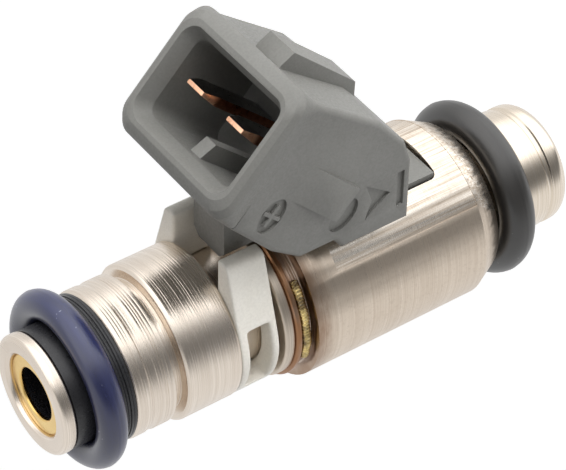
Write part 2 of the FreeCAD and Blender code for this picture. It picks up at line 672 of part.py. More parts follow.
def make_rings():
    """Retaining ring, end cap and the arc of weld that joins the cap."""
    turned("retaining_ring", [
        ("neck_radius", "ring_start"),
        ("ring_radius - ring_chamfer", "ring_start"),
        ("ring_radius", "ring_start + ring_chamfer"),
        ("ring_radius", "ring_end"),
        ("neck_radius", "ring_end"),
    ])
    turned("end_cap", [
        ("neck_radius", "ring_end"),
        ("cap_radius - ring_chamfer", "ring_end"),
        ("cap_radius", "ring_end + ring_chamfer"),
        ("cap_radius", "cap_flange_end"),
        ("weld_groove_radius", "cap_flange_end"),
        ("weld_groove_radius", "cap_shoulder"),
        ("housing_bore", "cap_shoulder"),
        ("housing_bore", "core_start"),
        ("neck_radius", "core_start"),
    ])
    bead = torus("weld_bead", "weld_ring", "weld_section", "weld_station")
    bead.Placement.Rotation = FreeCAD.Rotation(FreeCAD.Vector(0, 0, 1), value_of["weld_first"])
    bind(bead, "Angle3", "weld_sweep", " * 1 deg")


def make_housing():
    """Steel coil housing with the window for the connector's stalk."""
    body = turned("coil_housing", [
        ("housing_bore", "cap_shoulder"),
        ("housing_radius", "cap_shoulder"),
        ("housing_radius", "housing_cone_start"),
        ("housing_end_radius", "housing_end"),
        ("valve_body_radius", "housing_end"),
        ("valve_body_radius", "housing_bore_end"),
        ("housing_bore", "housing_bore_end"),
    ])
    window = new_sketch(body, "YZ_Plane", "housing_window")
    draw_outline(window, rectangle("window_half", "-window_end", "-window_start"))
    cut = pocket(body, window, "housing_window_cut", "housing_radius + housing_radius", reverse=True)
    corners = []
    for number, edge in enumerate(cut.Shape.Edges, start=1):
        ends = [vertex.Point for vertex in edge.Vertexes]
        if len(ends) != 2 or abs(ends[0].z - ends[1].z) > 0.01:
            continue
        across = all(abs(abs(end.y) - value_of["window_half"]) < 0.01 for end in ends)
        at_end = min(abs(ends[0].z + value_of[name]) for name in ("window_start", "window_end")) < 0.01
        if across and at_end and abs(ends[0].x - ends[1].x) > 0.1:
            corners.append("Edge%d" % number)
    round_edges(body, cut, "housing_window_rounding", corners, "window_round")
    strip = new_sketch(body, "XY_Plane", "sized_strip", "-housing_cone_start")
    draw_strip(strip)
    pocket(body, strip, "sized_strip_cut", "housing_cone_start - relief_start", reverse=True)


def draw_strip(sketch):
    """Everything outside the sized strip's radius, on the socket's side of the housing."""
    radius = value_of["housing_radius"] - value_of["relief_depth"]
    half = value_of["relief_half"]
    reach = amount("housing_radius + housing_radius")
    angle = math.asin(half / radius)
    circle = Part.Circle(FreeCAD.Vector(0, 0, 0), FreeCAD.Vector(0, 0, 1), radius)
    sketch.addGeometry(Part.ArcOfCircle(circle, -angle, angle), False)
    low = FreeCAD.Vector(radius * math.cos(angle), -half, 0)
    corners = [low, FreeCAD.Vector(reach, -half, 0), FreeCAD.Vector(reach, half, 0)]
    corners.append(FreeCAD.Vector(low.x, half, 0))
    for first, second in zip(corners, corners[1:]):
        sketch.addGeometry(Part.LineSegment(first, second), False)
    for first, first_end, second, second_end in ((0, 1, 1, 1), (1, 2, 2, 1), (2, 2, 3, 1), (3, 2, 0, 2)):
        sketch.addConstraint(Sketcher.Constraint("Coincident", first, first_end, second, second_end))
    sketch.addConstraint(Sketcher.Constraint("Coincident", 0, 3, -1, 1))
    size = sketch.addConstraint(Sketcher.Constraint("Radius", 0, radius))
    sketch.setExpression("Constraints[%d]" % size, formula("housing_radius - relief_depth"))
    pin_point(sketch, 2, 1, "housing_radius + housing_radius", "-relief_half")
    pin_point(sketch, 2, 2, "housing_radius + housing_radius", "relief_half")
    sketch.addConstraint(Sketcher.Constraint("Horizontal", 1))
    sketch.addConstraint(Sketcher.Constraint("Horizontal", 3))


def make_valve_body():
    """Valve body, nose sleeve, seat, orifice plate and stem guide."""
    turned("valve_body", [
        ("sleeve_radius", "valve_body_start"),
        ("valve_body_radius", "valve_body_start"),
        ("valve_body_radius", "nose_start"),
        ("nose_bore", "nose_start"),
        ("nose_bore", "nose_lip"),
        ("seat_radius", "nose_lip"),
        ("seat_radius", "seat_start"),
        ("valve_bore", "seat_start"),
        ("valve_bore", "sleeve_end"),
        ("sleeve_radius", "sleeve_end"),
    ])
    body = turned("nose_sleeve", [
        ("nose_bore", "nose_start"),
        ("nose_radius - land_edge", "nose_start"),
        ("nose_radius", "nose_start + land_edge"),
        ("nose_radius", "nose_groove_start"),
        ("nose_groove_radius", "nose_groove_start + land_edge"),
        ("nose_groove_radius", "nose_groove_end - land_edge"),
        ("nose_radius", "nose_groove_end"),
        ("nose_radius", "nose_end"),
        ("nose_mouth_flare", "nose_end"),
        ("nose_mouth", "nose_lip"),
        ("nose_bore", "nose_lip"),
    ])
    tip = circle_edges(body.Tip, value_of["nose_radius"], -value_of["nose_end"])
    round_edges(body, body.Tip, "nose_rounding", tip, "nose_round")
    turned("valve_seat", [
        ("seat_bore", "seat_start"),
        ("seat_radius", "seat_start"),
        ("seat_radius", "seat_end"),
        ("seat_hole", "seat_end"),
        ("seat_hole", "seat_cone_end"),
        ("seat_bore", "seat_cone_start"),
    ])
    plate = new_body("orifice_plate")
    disc = new_sketch(plate, "XY_Plane", "orifice_disc", "-nose_lip")
    draw_circle(disc, "seat_radius")
    pad(plate, disc, "orifice_disc_pad", "nose_lip - seat_end")
    ring_of_holes(plate, "orifice", "-nose_lip", "nose_lip - seat_end", "orifice_hole", "orifice_circle")
    guide = turned("stem_guide", [
        ("guide_bore", "guide_start"),
        ("valve_bore", "guide_start"),
        ("valve_bore", "guide_end"),
        ("guide_bore", "guide_end"),
    ])
    ring_of_holes(guide, "guide", "-guide_end", "guide_end - guide_start", "guide_hole", "guide_circle")
    torus("manifold_oring", "manifold_seal_ring", "manifold_seal_section", "manifold_seal_station")


def ring_of_holes(body, name, level, depth, radius, circle):
    """Four through holes on a circle about the axis."""
    sketch = new_sketch(body, "XY_Plane", name + "_hole_centre", level)
    draw_circle(sketch, radius, across=circle)
    hole = pocket(body, sketch, name + "_hole_cut", depth, reverse=True)
    repeat_round(body, hole, sketch, name + "_holes")


def repeat_round(body, feature, sketch, name):
    """Four of a feature, evenly spaced about its sketch's normal."""
    pattern = body.newObject("PartDesign::PolarPattern", name)
    pattern.Originals = [feature]
    pattern.Axis = (sketch, ["N_Axis"])
    pattern.Angle = FULL_TURN
    pattern.Occurrences = 4
    body.Tip = pattern
    document.recompute()


def make_moving_valve():
    """Armature, tubular stem and ball, which lift together by the valve's stroke."""
    turned("armature", [
        ("armature_bore", "armature_start"),
        ("armature_radius", "armature_start"),
        ("armature_radius", "armature_end"),
        ("stem_radius", "armature_end"),
        ("stem_radius", "stem_start"),
        ("armature_passage", "stem_start"),
        ("armature_passage", "spring_seat"),
        ("armature_bore", "spring_seat"),
    ])
    turned("valve_stem", [
        ("stem_bore", "stem_start"),
        ("stem_radius", "stem_start"),
        ("stem_radius", "stem_end"),
        ("stem_bore", "stem_cup"),
    ])
    ball = document.addObject("Part::Sphere", "valve_ball")
    ball.Label = "valve_ball"
    bind(ball, "Radius", "ball_radius", " * 1 mm")
    bind(ball, "Placement.Base.z", "origin_station - ball_station", " * 1 mm")


def make_spring():
    """Return spring, as half turns that slope to alternate sides, and the tube that sets its load."""
    turned("adjusting_tube", [
        ("adjuster_bore", "adjuster_start"),
        ("core_bore_radius", "adjuster_start"),
        ("core_bore_radius", "adjuster_end"),
        ("adjuster_bore", "adjuster_end"),
    ])
    clear_height = amount("spring_seat - adjuster_end - spring_wire - spring_wire")
    half_turns = int(2 * value_of["spring_turns"])
    rise = clear_height / half_turns
    slope = math.degrees(math.atan(rise / 2 / value_of["spring_radius"]))
    about_y = FreeCAD.Vector(0, 1, 0)
    half_turn = FreeCAD.Rotation(FreeCAD.Vector(0, 0, 1), 180)
    height = "(dims.spring_seat - dims.adjuster_end - 2 * dims.spring_wire) / (2 * dims.spring_turns)"
    arcs = []
    for index in range(half_turns):
        arc = document.addObject("Part::Torus", "spring_arc_%d" % index)
        radius = "sqrt(dims.spring_radius ^ 2 + (%s / 2) ^ 2) * 1 mm" % height
        arc.setExpression("Radius1", radius)
        bind(arc, "Radius2", "spring_wire", " * 1 mm")
        arc.Angle3 = 180
        if index % 2:
            arc.Placement.Rotation = FreeCAD.Rotation(about_y, -slope) * half_turn
        else:
            arc.Placement.Rotation = FreeCAD.Rotation(about_y, slope)
        foot = "dims.origin_station - dims.spring_seat + dims.spring_wire"
        level = "(%s + %g * %s) * 1 mm" % (foot, index + 0.5, height)
        arc.setExpression("Placement.Base.z", level)
        arcs.append(arc)
    spring = document.addObject("Part::MultiFuse", "return_spring")
    spring.Label = "return_spring"
    spring.Shapes = arcs
    document.recompute()


def make_coil():
    """Non-magnetic sleeve, bobbin, winding and the lower flux washer."""
    turned("core_sleeve", [
        ("core_radius", "core_start"),
        ("sleeve_radius", "core_start"),
        ("sleeve_radius", "sleeve_end"),
        ("core_radius", "sleeve_end"),
    ])
    turned("coil_bobbin", [
        ("bobbin_bore", "bobbin_start"),
        ("bobbin_flange", "bobbin_start"),
        ("bobbin_flange", "winding_start"),
        ("bobbin_barrel", "winding_start"),
        ("bobbin_barrel", "winding_end"),
        ("bobbin_flange", "winding_end"),
        ("bobbin_flange", "bobbin_end"),
        ("bobbin_bore", "bobbin_end"),
    ])
    turned("coil_winding", [
        ("bobbin_barrel", "winding_start"),
        ("winding_radius", "winding_start"),
        ("winding_radius", "winding_end"),
        ("bobbin_barrel", "winding_end"),
    ])
    turned("flux_washer", [
        ("valve_body_radius", "valve_body_start"),
        ("housing_bore", "valve_body_start"),
        ("housing_bore", "housing_bore_end"),
        ("valve_body_radius", "housing_bore_end"),
    ])


def make_terminals():
    """Two flat blades with tapered tips; a square pin runs from each tail down to the coil."""
    terminals = []
    for label, side in (("terminal_plus", -1), ("terminal_minus", 1)):
        body = new_body(label + "_blade", tilted=True)
        sketch = new_sketch(body, "YZ_Plane", label + "_outline", "blade_offset")
        corners = [
            ("blade_pitch/2 + blade_tip/2", "-blade_start"),
            ("blade_pitch/2 + blade_width/2", "-blade_taper"),
            ("blade_pitch/2 + blade_width/2", "-blade_end"),
            ("tail_outer", "-blade_end"),
            ("tail_outer", "-tail_end"),
            ("tail_inner", "-tail_end"),
            ("tail_inner", "-blade_end"),
            ("blade_pitch/2 - blade_width/2", "-blade_end"),
            ("blade_pitch/2 - blade_width/2", "-blade_taper"),
            ("blade_pitch/2 - blade_tip/2", "-blade_start"),
        ]
        if side < 0:
            corners = [(negative(across), along) for across, along in corners]
        draw_outline(sketch, corners)
        pad(body, sketch, label + "_pad", "blade_thickness", midplane=True)
        bevel_tip(body, label)
        pin = document.addObject("Part::Box", label + "_pin")
        bind(pin, "Length", "pin_top - pin_bottom", " * 1 mm")
        bind(pin, "Width", "pin_width", " * 1 mm")
        bind(pin, "Height", "pin_width", " * 1 mm")
        bind(pin, "Placement.Base.x", "pin_bottom", " * 1 mm")
        bind(pin, "Placement.Base.z", "origin_station - pin_station", " * 1 mm")
        middle = "(dims.tail_inner + dims.tail_outer) / 2"
        pin.setExpression("Placement.Base.y", "(%d * %s - dims.pin_width / 2) * 1 mm" % (side, middle))
        terminal = document.addObject("Part::Fuse", label)
        terminal.Label = label
        terminal.Base = body
        terminal.Tool = pin
        terminals.append(terminal)
    document.recompute()
    return terminals


def bevel_tip(body, label):
    """Thins a blade towards its tip from both of its faces."""
    upper = [
        ("blade_offset + blade_tip_thickness/2", "-blade_start"),
        ("blade_offset + blade_thickness/2", "-blade_bevel"),
        ("blade_offset + blade_thickness", "-blade_bevel"),
        ("blade_offset + blade_thickness", "-blade_start"),
    ]
    lower = [
        ("blade_offset - blade_tip_thickness/2", "-blade_start"),
        ("blade_offset - blade_thickness/2", "-blade_bevel"),
        ("-(blade_thickness - blade_offset)", "-blade_bevel"),
        ("-(blade_thickness - blade_offset)", "-blade_start"),
    ]
    for name, corners in (("_upper_bevel", upper), ("_lower_bevel", lower)):
        sketch = new_sketch(body, "XZ_Plane", label + name)
        draw_outline(sketch, corners)
        pocket(body, sketch, label + name + "_cut", "blade_pitch + blade_pitch + blade_width", midplane=True)


def rounded_frame(body, name, half_width, half_height, radius, depth, shift="zero"):
    """A rounded rectangle across the socket axis, at a depth below the mouth."""
    sketch = new_sketch(body, "XY_Plane", name, None if depth == "zero" else negative(depth))
    move = signed(shift)
    height = amount(half_height)
    width = amount(half_width)
    corner = amount(radius)
    quarters = ((1, 1), (-1, 1), (-1, -1), (1, -1))
    for quarter, (across, along) in enumerate(quarters):
        centre = FreeCAD.Vector((height - corner) * across - move, (width - corner) * along, 0)
        circle = Part.Circle(centre, FreeCAD.Vector(0, 0, 1), corner)
        start = quarter * math.pi / 2
        sketch.addGeometry(Part.ArcOfCircle(circle, start, start + math.pi / 2), False)
    for index in range(4):
        start = sketch.getPoint(index, 2)
        end = sketch.getPoint((index + 1) % 4, 1)
        sketch.addGeometry(Part.LineSegment(start, end), False)
    for index in range(4):
        following = (index + 1) % 4
        sketch.addConstraint(Sketcher.Constraint("Tangent", index, 2, 4 + index, 1))
        sketch.addConstraint(Sketcher.Constraint("Tangent", 4 + index, 2, following, 1))
        sketch.addConstraint(Sketcher.Constraint("Vertical" if index % 2 else "Horizontal", 4 + index))
    low = half_height + " - " + radius + ("" if shift == "zero" else " + " + shift)
    high = half_height + " - " + radius + ("" if shift == "zero" else " - " + shift)
    side = half_width + " - " + radius
    pin_point(sketch, 0, 3, high, side)
    pin_point(sketch, 2, 3, negative(low), negative(side))
    size = sketch.addConstraint(Sketcher.Constraint("Radius", 0, corner))
    sketch.setExpression("Constraints[%d]" % size, formula(radius))
    return sketch


def loft(body, name, first, others):
    """A ruled loft through sections."""
    feature = body.newObject("PartDesign::AdditiveLoft", name)
    feature.Profile = first
    feature.Sections = others
    feature.Ruled = True
    document.recompute()
    return feature


def ellipse_tool(label, depth, side):
    """A shallow oval cutter on the side panel, long across the socket axis."""
    body = new_body(label, tilted=True)
    sketch = new_sketch(body, "XZ_Plane", label + "_outline", "body_half - mark_depth")
    centre = FreeCAD.Vector(-value_of[side], -value_of[depth], 0)
    major = centre + FreeCAD.Vector(value_of["oval_long"], 0, 0)
    minor = centre + FreeCAD.Vector(0, value_of["oval_short"], 0)
    sketch.addGeometry(Part.Ellipse(major, minor, centre), False)
    sketch.exposeInternalGeometry(0)
    pin_point(sketch, 0, 3, negative(side), negative(depth))
    sketch.addConstraint(Sketcher.Constraint("Horizontal", 1))
    for line, length in ((1, "oval_long + oval_long"), (2, "oval_short + oval_short")):
        index = sketch.addConstraint(Sketcher.Constraint("Distance", line, amount(length)))
        sketch.setExpression("Constraints[%d]" % index, formula(length))
    pad(body, sketch, label + "_pad", "mark_depth + mark_depth")
    return body


def make_panel_body():
    """Connector body between its two flat side panels, with the tongue, stalk and moulded marks."""
    body = new_body("connector_panel")
    outline = new_sketch(body, "XZ_Plane", "connector_outline")
    draw_outline(outline, [
        ("underside", "-back_face"),
        ("underside", "-heel_end"),
        ("recess_underside", "-recess_end"),
        ("recess_underside", "-recess_start"),
        ("chin_x", "-chin_station"),
        ("lower_lip_x", "-lower_lip_station"),
        ("upper_lip_x", "-upper_lip_station"),
        ("brow_x", "-brow_station"),
        ("crown_x", "-crown_station"),
        ("shoulder_x", "-back_face"),
    ])
    block = pad(body, outline, "connector_outline_pad", "body_half + body_half", midplane=True)
    corners = []
    for corner_x, station in (("brow_x", "brow_station"), ("crown_x", "crown_station"),
                              ("shoulder_x", "back_face")):
        for number, edge in enumerate(block.Shape.Edges, start=1):
            ends = [vertex.Point for vertex in edge.Vertexes]
            away = [abs(end.x - value_of[corner_x]) + abs(end.z + value_of[station]) for end in ends]
            if max(away) < 0.01:
                corners.append("Edge%d" % number)
    rounded = round_edges(body, block, "connector_back_rounding", corners, "crown_round")
    sides = []
    lips = [value_of["lower_lip_station"], value_of["upper_lip_station"]]
    for number, edge in enumerate(rounded.Shape.Edges, start=1):
        ends = [vertex.Point for vertex in edge.Vertexes]
        flat = all(abs(abs(end.y) - value_of["body_half"]) < 0.01 for end in ends)
        same_side = abs(ends[0].y - ends[-1].y) < 0.01
        front = all(min(abs(end.z + lip) for lip in lips) < 0.01 for end in ends)
        if flat and same_side and not front:
            sides.append("Edge%d" % number)
    round_edges(body, rounded, "connector_side_rounding", sides, "side_round")
    tongue = new_sketch(body, "XY_Plane", "tongue_section", "-tongue_end")
    draw_outline(tongue, [
        ("tongue_bottom", "-(tongue_half - tongue_chamfer)"),
        ("tongue_bottom", "tongue_half - tongue_chamfer"),
        ("tongue_bottom + tongue_chamfer", "tongue_half"),
        ("tongue_top", "tongue_half"),
        ("tongue_top", "-tongue_half"),
        ("tongue_bottom + tongue_chamfer", "-tongue_half"),
    ])
    pad(body, tongue, "tongue_pad", "tongue_end - tongue_start")
    stalk = new_sketch(body, "XZ_Plane", "stalk_section")
    draw_outline(stalk, [
        ("stalk_bottom", "-stalk_end"),
        ("stalk_bottom", "-stalk_start"),
        ("stalk_top", "-stalk_start"),
        ("stalk_top", "-(back_face - side_round)"),
        ("foot_top", "-(back_face - side_round)"),
        ("foot_top", "-stalk_end"),
    ])
    pad(body, stalk, "stalk_pad", "stalk_half + stalk_half", midplane=True)
    bar = new_sketch(body, "XZ_Plane", "bar_mark", "body_half")
    draw_outline(bar, [
        ("bar_bottom", "-bar_end"),
        ("bar_top", "-bar_end"),
        ("bar_top", "-bar_start"),
        ("bar_bottom", "-bar_start"),
    ])
    pocket(body, bar, "bar_mark_cut", "mark_depth")
    arrow = new_sketch(body, "XZ_Plane", "arrow_mark", "body_half")
    draw_outline(arrow, [
        ("arrow_x", "-arrow_end"),
        ("arrow_x + arrow_half", "-arrow_start"),
        ("arrow_x", "-arrow_notch"),
        ("arrow_x - arrow_half", "-arrow_start"),
    ])
    pocket(body, arrow, "arrow_mark_cut", "mark_depth")
    return body


def make_collar_body():
    """Flared socket collar with the latch wedge behind it and a locking ramp on each side."""
    body = new_body("connector_collar", tilted=True)
    rim = rounded_frame(body, "rim_section", "rim_half_width", "rim_half_height", "rim_round", "zero")
    flare = rounded_frame(body, "flare_section", "flare_half_width", "flare_half_height",
                          "rim_round", "flare_depth")
    middle = rounded_frame(body, "collar_section", "collar_half_mid", "collar_half_height",
                           "collar_round", "collar_depth")
    base = rounded_frame(body, "collar_base_section", "collar_half_base", "collar_base_height",
                         "collar_base_round", "collar_base", shift="collar_shift")
    loft(body, "collar_flare", rim, [flare, middle, base])
    wedge = new_sketch(body, "XZ_Plane", "wedge_side")
    draw_outline(wedge, [
        ("wedge_root", "-wedge_front"),
        ("collar_half_height", "-wedge_front"),
        ("wedge_height", "-wedge_crest"),
        ("wedge_height", "-wedge_back"),
        ("wedge_low", "-wedge_foot"),
        ("wedge_root", "-wedge_foot"),
    ])
    pad(body, wedge, "wedge_pad", "wedge_half + wedge_half", midplane=True)
    block = new_sketch(body, "XY_Plane", "core_block", "-wedge_foot")
    draw_outline(block, rectangle_between("wedge_root", "ramp_root", "ramp_root"))
    pad(body, block, "core_block_pad", "wedge_foot - collar_base")
    for name, side in (("near_ramp", -1), ("far_ramp", 1)):
        ramp = new_sketch(body, "YZ_Plane", name + "_profile", "-ramp_low")
        corners = [
            ("ramp_root", "-ramp_front"),
            ("body_half", "-ramp_front"),
            ("body_half + ramp_height", "-ramp_crest"),
            ("body_half + ramp_height", "-ramp_back"),
            ("ramp_root", "-ramp_back"),
        ]
        if side < 0:
            corners = [(negative(across), along) for across, along in corners]
        draw_outline(ramp, corners)
        pad(body, ramp, name + "_pad", "ramp_low + ramp_high")
    return body


def rectangle_between(across_high, half_along, across_low):
    """Corners of a rectangle from one side of the vertical axis to the other."""
    other = negative(across_low)
    return [(other, negative(half_along)), (across_high, negative(half_along)),
            (across_high, half_along), (other, half_along)]


def make_cavity():
    """Everything the socket leaves empty: lead-in, cavity and the space beside the keying rib."""
    body = new_body("socket_cavity", tilted=True)
    rim = rounded_frame(body, "lead_in_section", "rim_half_width - lip_width",
                        "rim_half_height - lip_width", "rim_round - lip_width", "zero")
    throat = rounded_frame(body, "throat_section", "throat_half_width", "throat_half_height",
                           "throat_round", "throat_depth")
    loft(body, "lead_in", rim, [throat])
    pad(body, throat, "cavity_pad", "socket_depth - throat_depth", reverse=True)
    above = rounded_frame(body, "mouth_section", "rim_half_width - lip_width",
                          "rim_half_height - lip_width", "rim_round - lip_width", "zero")
    pad(body, above, "mouth_pad", "lip_width")
    key = new_sketch(body, "XZ_Plane", "key_rib_side")
    draw_outline(key, [
        ("-(throat_half_height + key_slope)", "-key_start"),
        ("-throat_half_height", "-key_start"),
        ("-(throat_half_height - key_height)", "-(key_start + key_slope)"),
        ("-(throat_half_height - key_height)", "-(socket_depth + key_slope)"),
        ("-(throat_half_height + key_slope)", "-(socket_depth + key_slope)"),
    ])
    pocket(body, key, "key_rib_space", "key_half + key_half", midplane=True)
    return body


def make_connector(terminals):
    """Moulded connector: body and collar in one piece, hollowed by the socket and round the blades."""
    plus_oval = ellipse_tool("plus_oval", "plus_oval_depth", "plus_oval_side")
    plus = new_sketch(plus_oval, "XZ_Plane", "plus_mark", "body_half - mark_depth")
    draw_outline(plus, plus_corners())
    pocket(plus_oval, plus, "plus_mark_space", "mark_depth + mark_depth", reverse=True)
    plain_oval = ellipse_tool("plain_oval", "plain_oval_depth", "plain_oval_side")
    solid = document.addObject("Part::Fuse", "connector_solid")
    solid.Base = make_panel_body()
    solid.Tool = make_collar_body()
    for number, tool in enumerate([make_cavity(), plus_oval, plain_oval] + terminals, start=1):
        cut = document.addObject("Part::Cut", "connector_cut_%d" % number)
        cut.Base = solid
        cut.Tool = tool
        document.recompute()
        assert cut.Shape.Volume < solid.Shape.Volume - MATING_CLEARANCE, tool.Label + " cut nothing"
        solid = cut
    solid.Label = "connector_body"


def plus_corners():
    """Twelve corners of an upright plus sign in the middle of the first oval."""
    arm, width = "plus_arm", "plus_width"
    quarter = [(arm, width), (width, width), (width, arm)]
    corners = []
    for across_sign, along_sign in (("+", "+"), ("-", "+"), ("-", "-"), ("+", "-")):
        mixed = across_sign != along_sign
        for across, along in (reversed(quarter) if mixed else quarter):
            corners.append((
                negative("plus_oval_side %s %s" % (across_sign, across)),
                negative("plus_oval_depth %s %s" % (along_sign, along)),
            ))
    return corners


NODES = [
    "inlet_tube", "inlet_spacer", "inlet_oring", "filter_ring", "filter_frame", "filter_mesh",
    "clip", "retaining_ring", "end_cap", "weld_bead", "coil_housing", "valve_body", "nose_sleeve",
    "valve_seat", "orifice_plate", "stem_guide", "manifold_oring", "armature", "valve_stem",
    "valve_ball", "adjusting_tube", "return_spring", "core_sleeve", "coil_bobbin", "coil_winding",
    "flux_washer", "terminal_plus", "terminal_minus", "connector_body",
]

make_inlet_tube()
make_inlet_seal()
make_filter()
make_clip()
make_rings()
make_housing()
make_valve_body()
make_moving_valve()
make_spring()
make_coil()
make_connector(make_terminals())
document.recompute()

for item in document.Objects:
    assert not {"Invalid", "Error"} & set(item.State), item.Name + " did not recompute"

os.makedirs("parts", exist_ok=True)
for node in NODES:
    piece = document.getObjectsByLabel(node)[0]
    assert not piece.Shape.isNull() and piece.Shape.isValid(), node + " is not a valid shape"
    assert piece.Shape.Volume > 0, node + " is empty"
    piece.Shape.exportStep("parts/" + node + ".step")
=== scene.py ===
"""Looks of the fuel injector: materials, finely turned metal, rubber rings, moulded plastic and light."""
import math
import random

import bmesh
import bpy
from mathutils import Matrix, Vector


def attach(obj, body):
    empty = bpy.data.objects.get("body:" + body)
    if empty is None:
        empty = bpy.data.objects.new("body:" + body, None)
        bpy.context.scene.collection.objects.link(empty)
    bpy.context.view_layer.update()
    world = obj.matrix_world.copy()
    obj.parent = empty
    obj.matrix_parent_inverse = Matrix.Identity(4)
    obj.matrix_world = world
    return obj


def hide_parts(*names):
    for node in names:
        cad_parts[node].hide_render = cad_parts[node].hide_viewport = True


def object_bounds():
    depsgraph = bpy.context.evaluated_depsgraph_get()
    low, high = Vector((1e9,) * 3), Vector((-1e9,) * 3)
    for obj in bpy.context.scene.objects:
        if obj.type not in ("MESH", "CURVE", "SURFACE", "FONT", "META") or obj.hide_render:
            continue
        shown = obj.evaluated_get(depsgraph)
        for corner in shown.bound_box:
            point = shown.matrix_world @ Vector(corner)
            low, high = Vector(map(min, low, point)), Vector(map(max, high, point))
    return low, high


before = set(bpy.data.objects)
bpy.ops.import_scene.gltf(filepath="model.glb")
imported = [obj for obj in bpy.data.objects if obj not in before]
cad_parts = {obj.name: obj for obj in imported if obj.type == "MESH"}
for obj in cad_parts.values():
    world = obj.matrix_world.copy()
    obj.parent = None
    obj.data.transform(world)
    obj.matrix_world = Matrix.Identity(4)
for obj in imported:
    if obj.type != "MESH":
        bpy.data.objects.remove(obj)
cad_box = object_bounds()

# Lengths are in millimetres unless a comment says otherwise. A station is the distance below the inlet face.
ORIGIN_STATION = 44.4
ROOT = "injector_body"
AROUND = 160
SEAL_AROUND = 192
SEAL_SIDES = 72
SEAL_INSET = 0.02
LARGEST_CUT = 0.45
NEARLY_STRAIGHT = math.radians(172)
SOCKET_LEAN = math.radians(43.56)
SOCKET_MOUTH = (20.73, 15.61)
# Depths below the socket mouth over which the blades' copper goes from painted shade to painted light.
LIT_COPPER_DEPTH = (2.4, 1.9)
STRIP_HALF = 5.87
STRIP_START = 23.8


# ---------------------------------------------------------------- geometry helpers

def height_of(station):
    """The Z coordinate of a station, in metres."""
    return (ORIGIN_STATION - station) / 1000


def place(x, y, station):
    """The point at X, Y and a station, in metres."""
    return Vector((x / 1000, y / 1000, height_of(station)))


def new_object(name, mesh):
    """An object for a mesh, linked to the scene."""
    piece = bpy.data.objects.new(name, mesh)
    bpy.context.scene.collection.objects.link(piece)
    return piece


def soften(profile, radius):
    """Rounds every corner of a closed profile, by less where its edges are short."""
    points = 3
    result = []
    count = len(profile)
    for index, corner in enumerate(profile):
        here = Vector(corner)
        before = Vector(profile[index - 1]) - here
        after = Vector(profile[(index + 1) % count]) - here
        reach = min(radius, LARGEST_CUT * before.length, LARGEST_CUT * after.length)
        turn = before.angle(after, math.pi) if before.length and after.length else math.pi
        if reach < 1e-4 or turn > NEARLY_STRAIGHT:
            result.append((here.x, here.y))
            continue
        first = here + before.normalized() * reach
        last = here + after.normalized() * reach
        for step in range(points + 1):
            share = step / points
            point = first * (1 - share) ** 2 + here * (2 * share * (1 - share)) + last * share ** 2
            result.append((point.x, point.y))
    return result


def quarter(centre, radius, first, steps=6):
    """A quarter circle of profile points from the first angle on, towards growing stations."""
    points = []
    for step in range(1, steps + 1):
        turn = math.radians(first + 90 * step / steps)
        points.append((centre[0] + radius * math.cos(turn), centre[1] + radius * math.sin(turn)))
    return points


def lathe(name, profile, around=AROUND, sharp=28, wobble=None):
    """A closed (radius, station) profile turned about the injector's axis."""
    mesh = bpy.data.meshes.new(name)
    ring = len(profile)
    verts = []
    for step in range(around):
        angle = 2 * math.pi * step / around
        for radius, station in profile:
            if wobble:
                radius, station = wobble(radius, station, angle)
            verts.append(place(radius * math.cos(angle), radius * math.sin(angle), station))
    faces = []
    for step in range(around):
        following = (step + 1) % around
        for index in range(ring):
            after = (index + 1) % ring
            faces.append((step * ring + index, step * ring + after,
                          following * ring + after, following * ring + index))
    mesh.from_pydata(verts, [], faces)
    work = bmesh.new()
    work.from_mesh(mesh)
    bmesh.ops.recalc_face_normals(work, faces=work.faces)
    for edge in work.edges:
        if len(edge.link_faces) == 2 and edge.calc_face_angle(0) > math.radians(sharp):
            edge.smooth = False
    for face in work.faces:
        face.smooth = True
    work.to_mesh(mesh)
    work.free()
    return new_object(name, mesh)


def skin(node, name, width, segments=3):
    """A copy of a CAD node with softened edges, which then stands for the node."""
    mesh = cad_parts[node].data.copy()
    mesh.name = name
    mesh.materials.clear()
    work = bmesh.new()
    work.from_mesh(mesh)
    bmesh.ops.remove_doubles(work, verts=work.verts, dist=2e-6)
    bmesh.ops.dissolve_limit(work, angle_limit=math.radians(0.6), verts=work.verts, edges=work.edges)
    for face in work.faces:
        face.smooth = True
    work.to_mesh(mesh)
    work.free()
    piece = new_object(name, mesh)
    bevel = piece.modifiers.new("edges", "BEVEL")
    bevel.width = width / 1000
    bevel.segments = segments
    bevel.limit_method = "ANGLE"
    bevel.angle_limit = math.radians(24)
    bevel.harden_normals = True
    bevel.miter_outer = "MITER_ARC"
    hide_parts(node)
    return piece


def melt(node, name, voxel, passes):
    """A copy of a CAD node whose edges are rounded by relaxing an even mesh; it stands for the node."""
    piece = new_object(name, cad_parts[node].data.copy())
    piece.data.name = name
    piece.data.materials.clear()
    remesh = piece.modifiers.new("even", "REMESH")
    remesh.mode = "VOXEL"
    remesh.voxel_size = voxel / 1000
    remesh.use_smooth_shade = True
    relax = piece.modifiers.new("relax", "SMOOTH")
    relax.factor = 0.5
    relax.iterations = passes
    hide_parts(node)
    return piece


def dress(piece, material, body=ROOT):
    """Gives a piece its material and its body."""
    piece.data.materials.clear()
    piece.data.materials.append(material)
    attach(piece, body)
    return piece


def turning_marks(radius, start, end, pitch, depth, seed):
    """Points along a turned surface with small, slightly uneven tool grooves."""
    chance = random.Random(seed)
    points = [(radius, start)]
    station = start + pitch * 0.6
    while station < end - pitch * 0.6:
        cut = depth * chance.uniform(0.25, 1.0)
        half = pitch * chance.uniform(0.14, 0.3)
        points += [(radius, station - half), (radius - cut, station), (radius, station + half)]
        station += pitch * chance.uniform(0.75, 1.3)
    points.append((radius, end))
    return points


# ---------------------------------------------------------------- material helpers

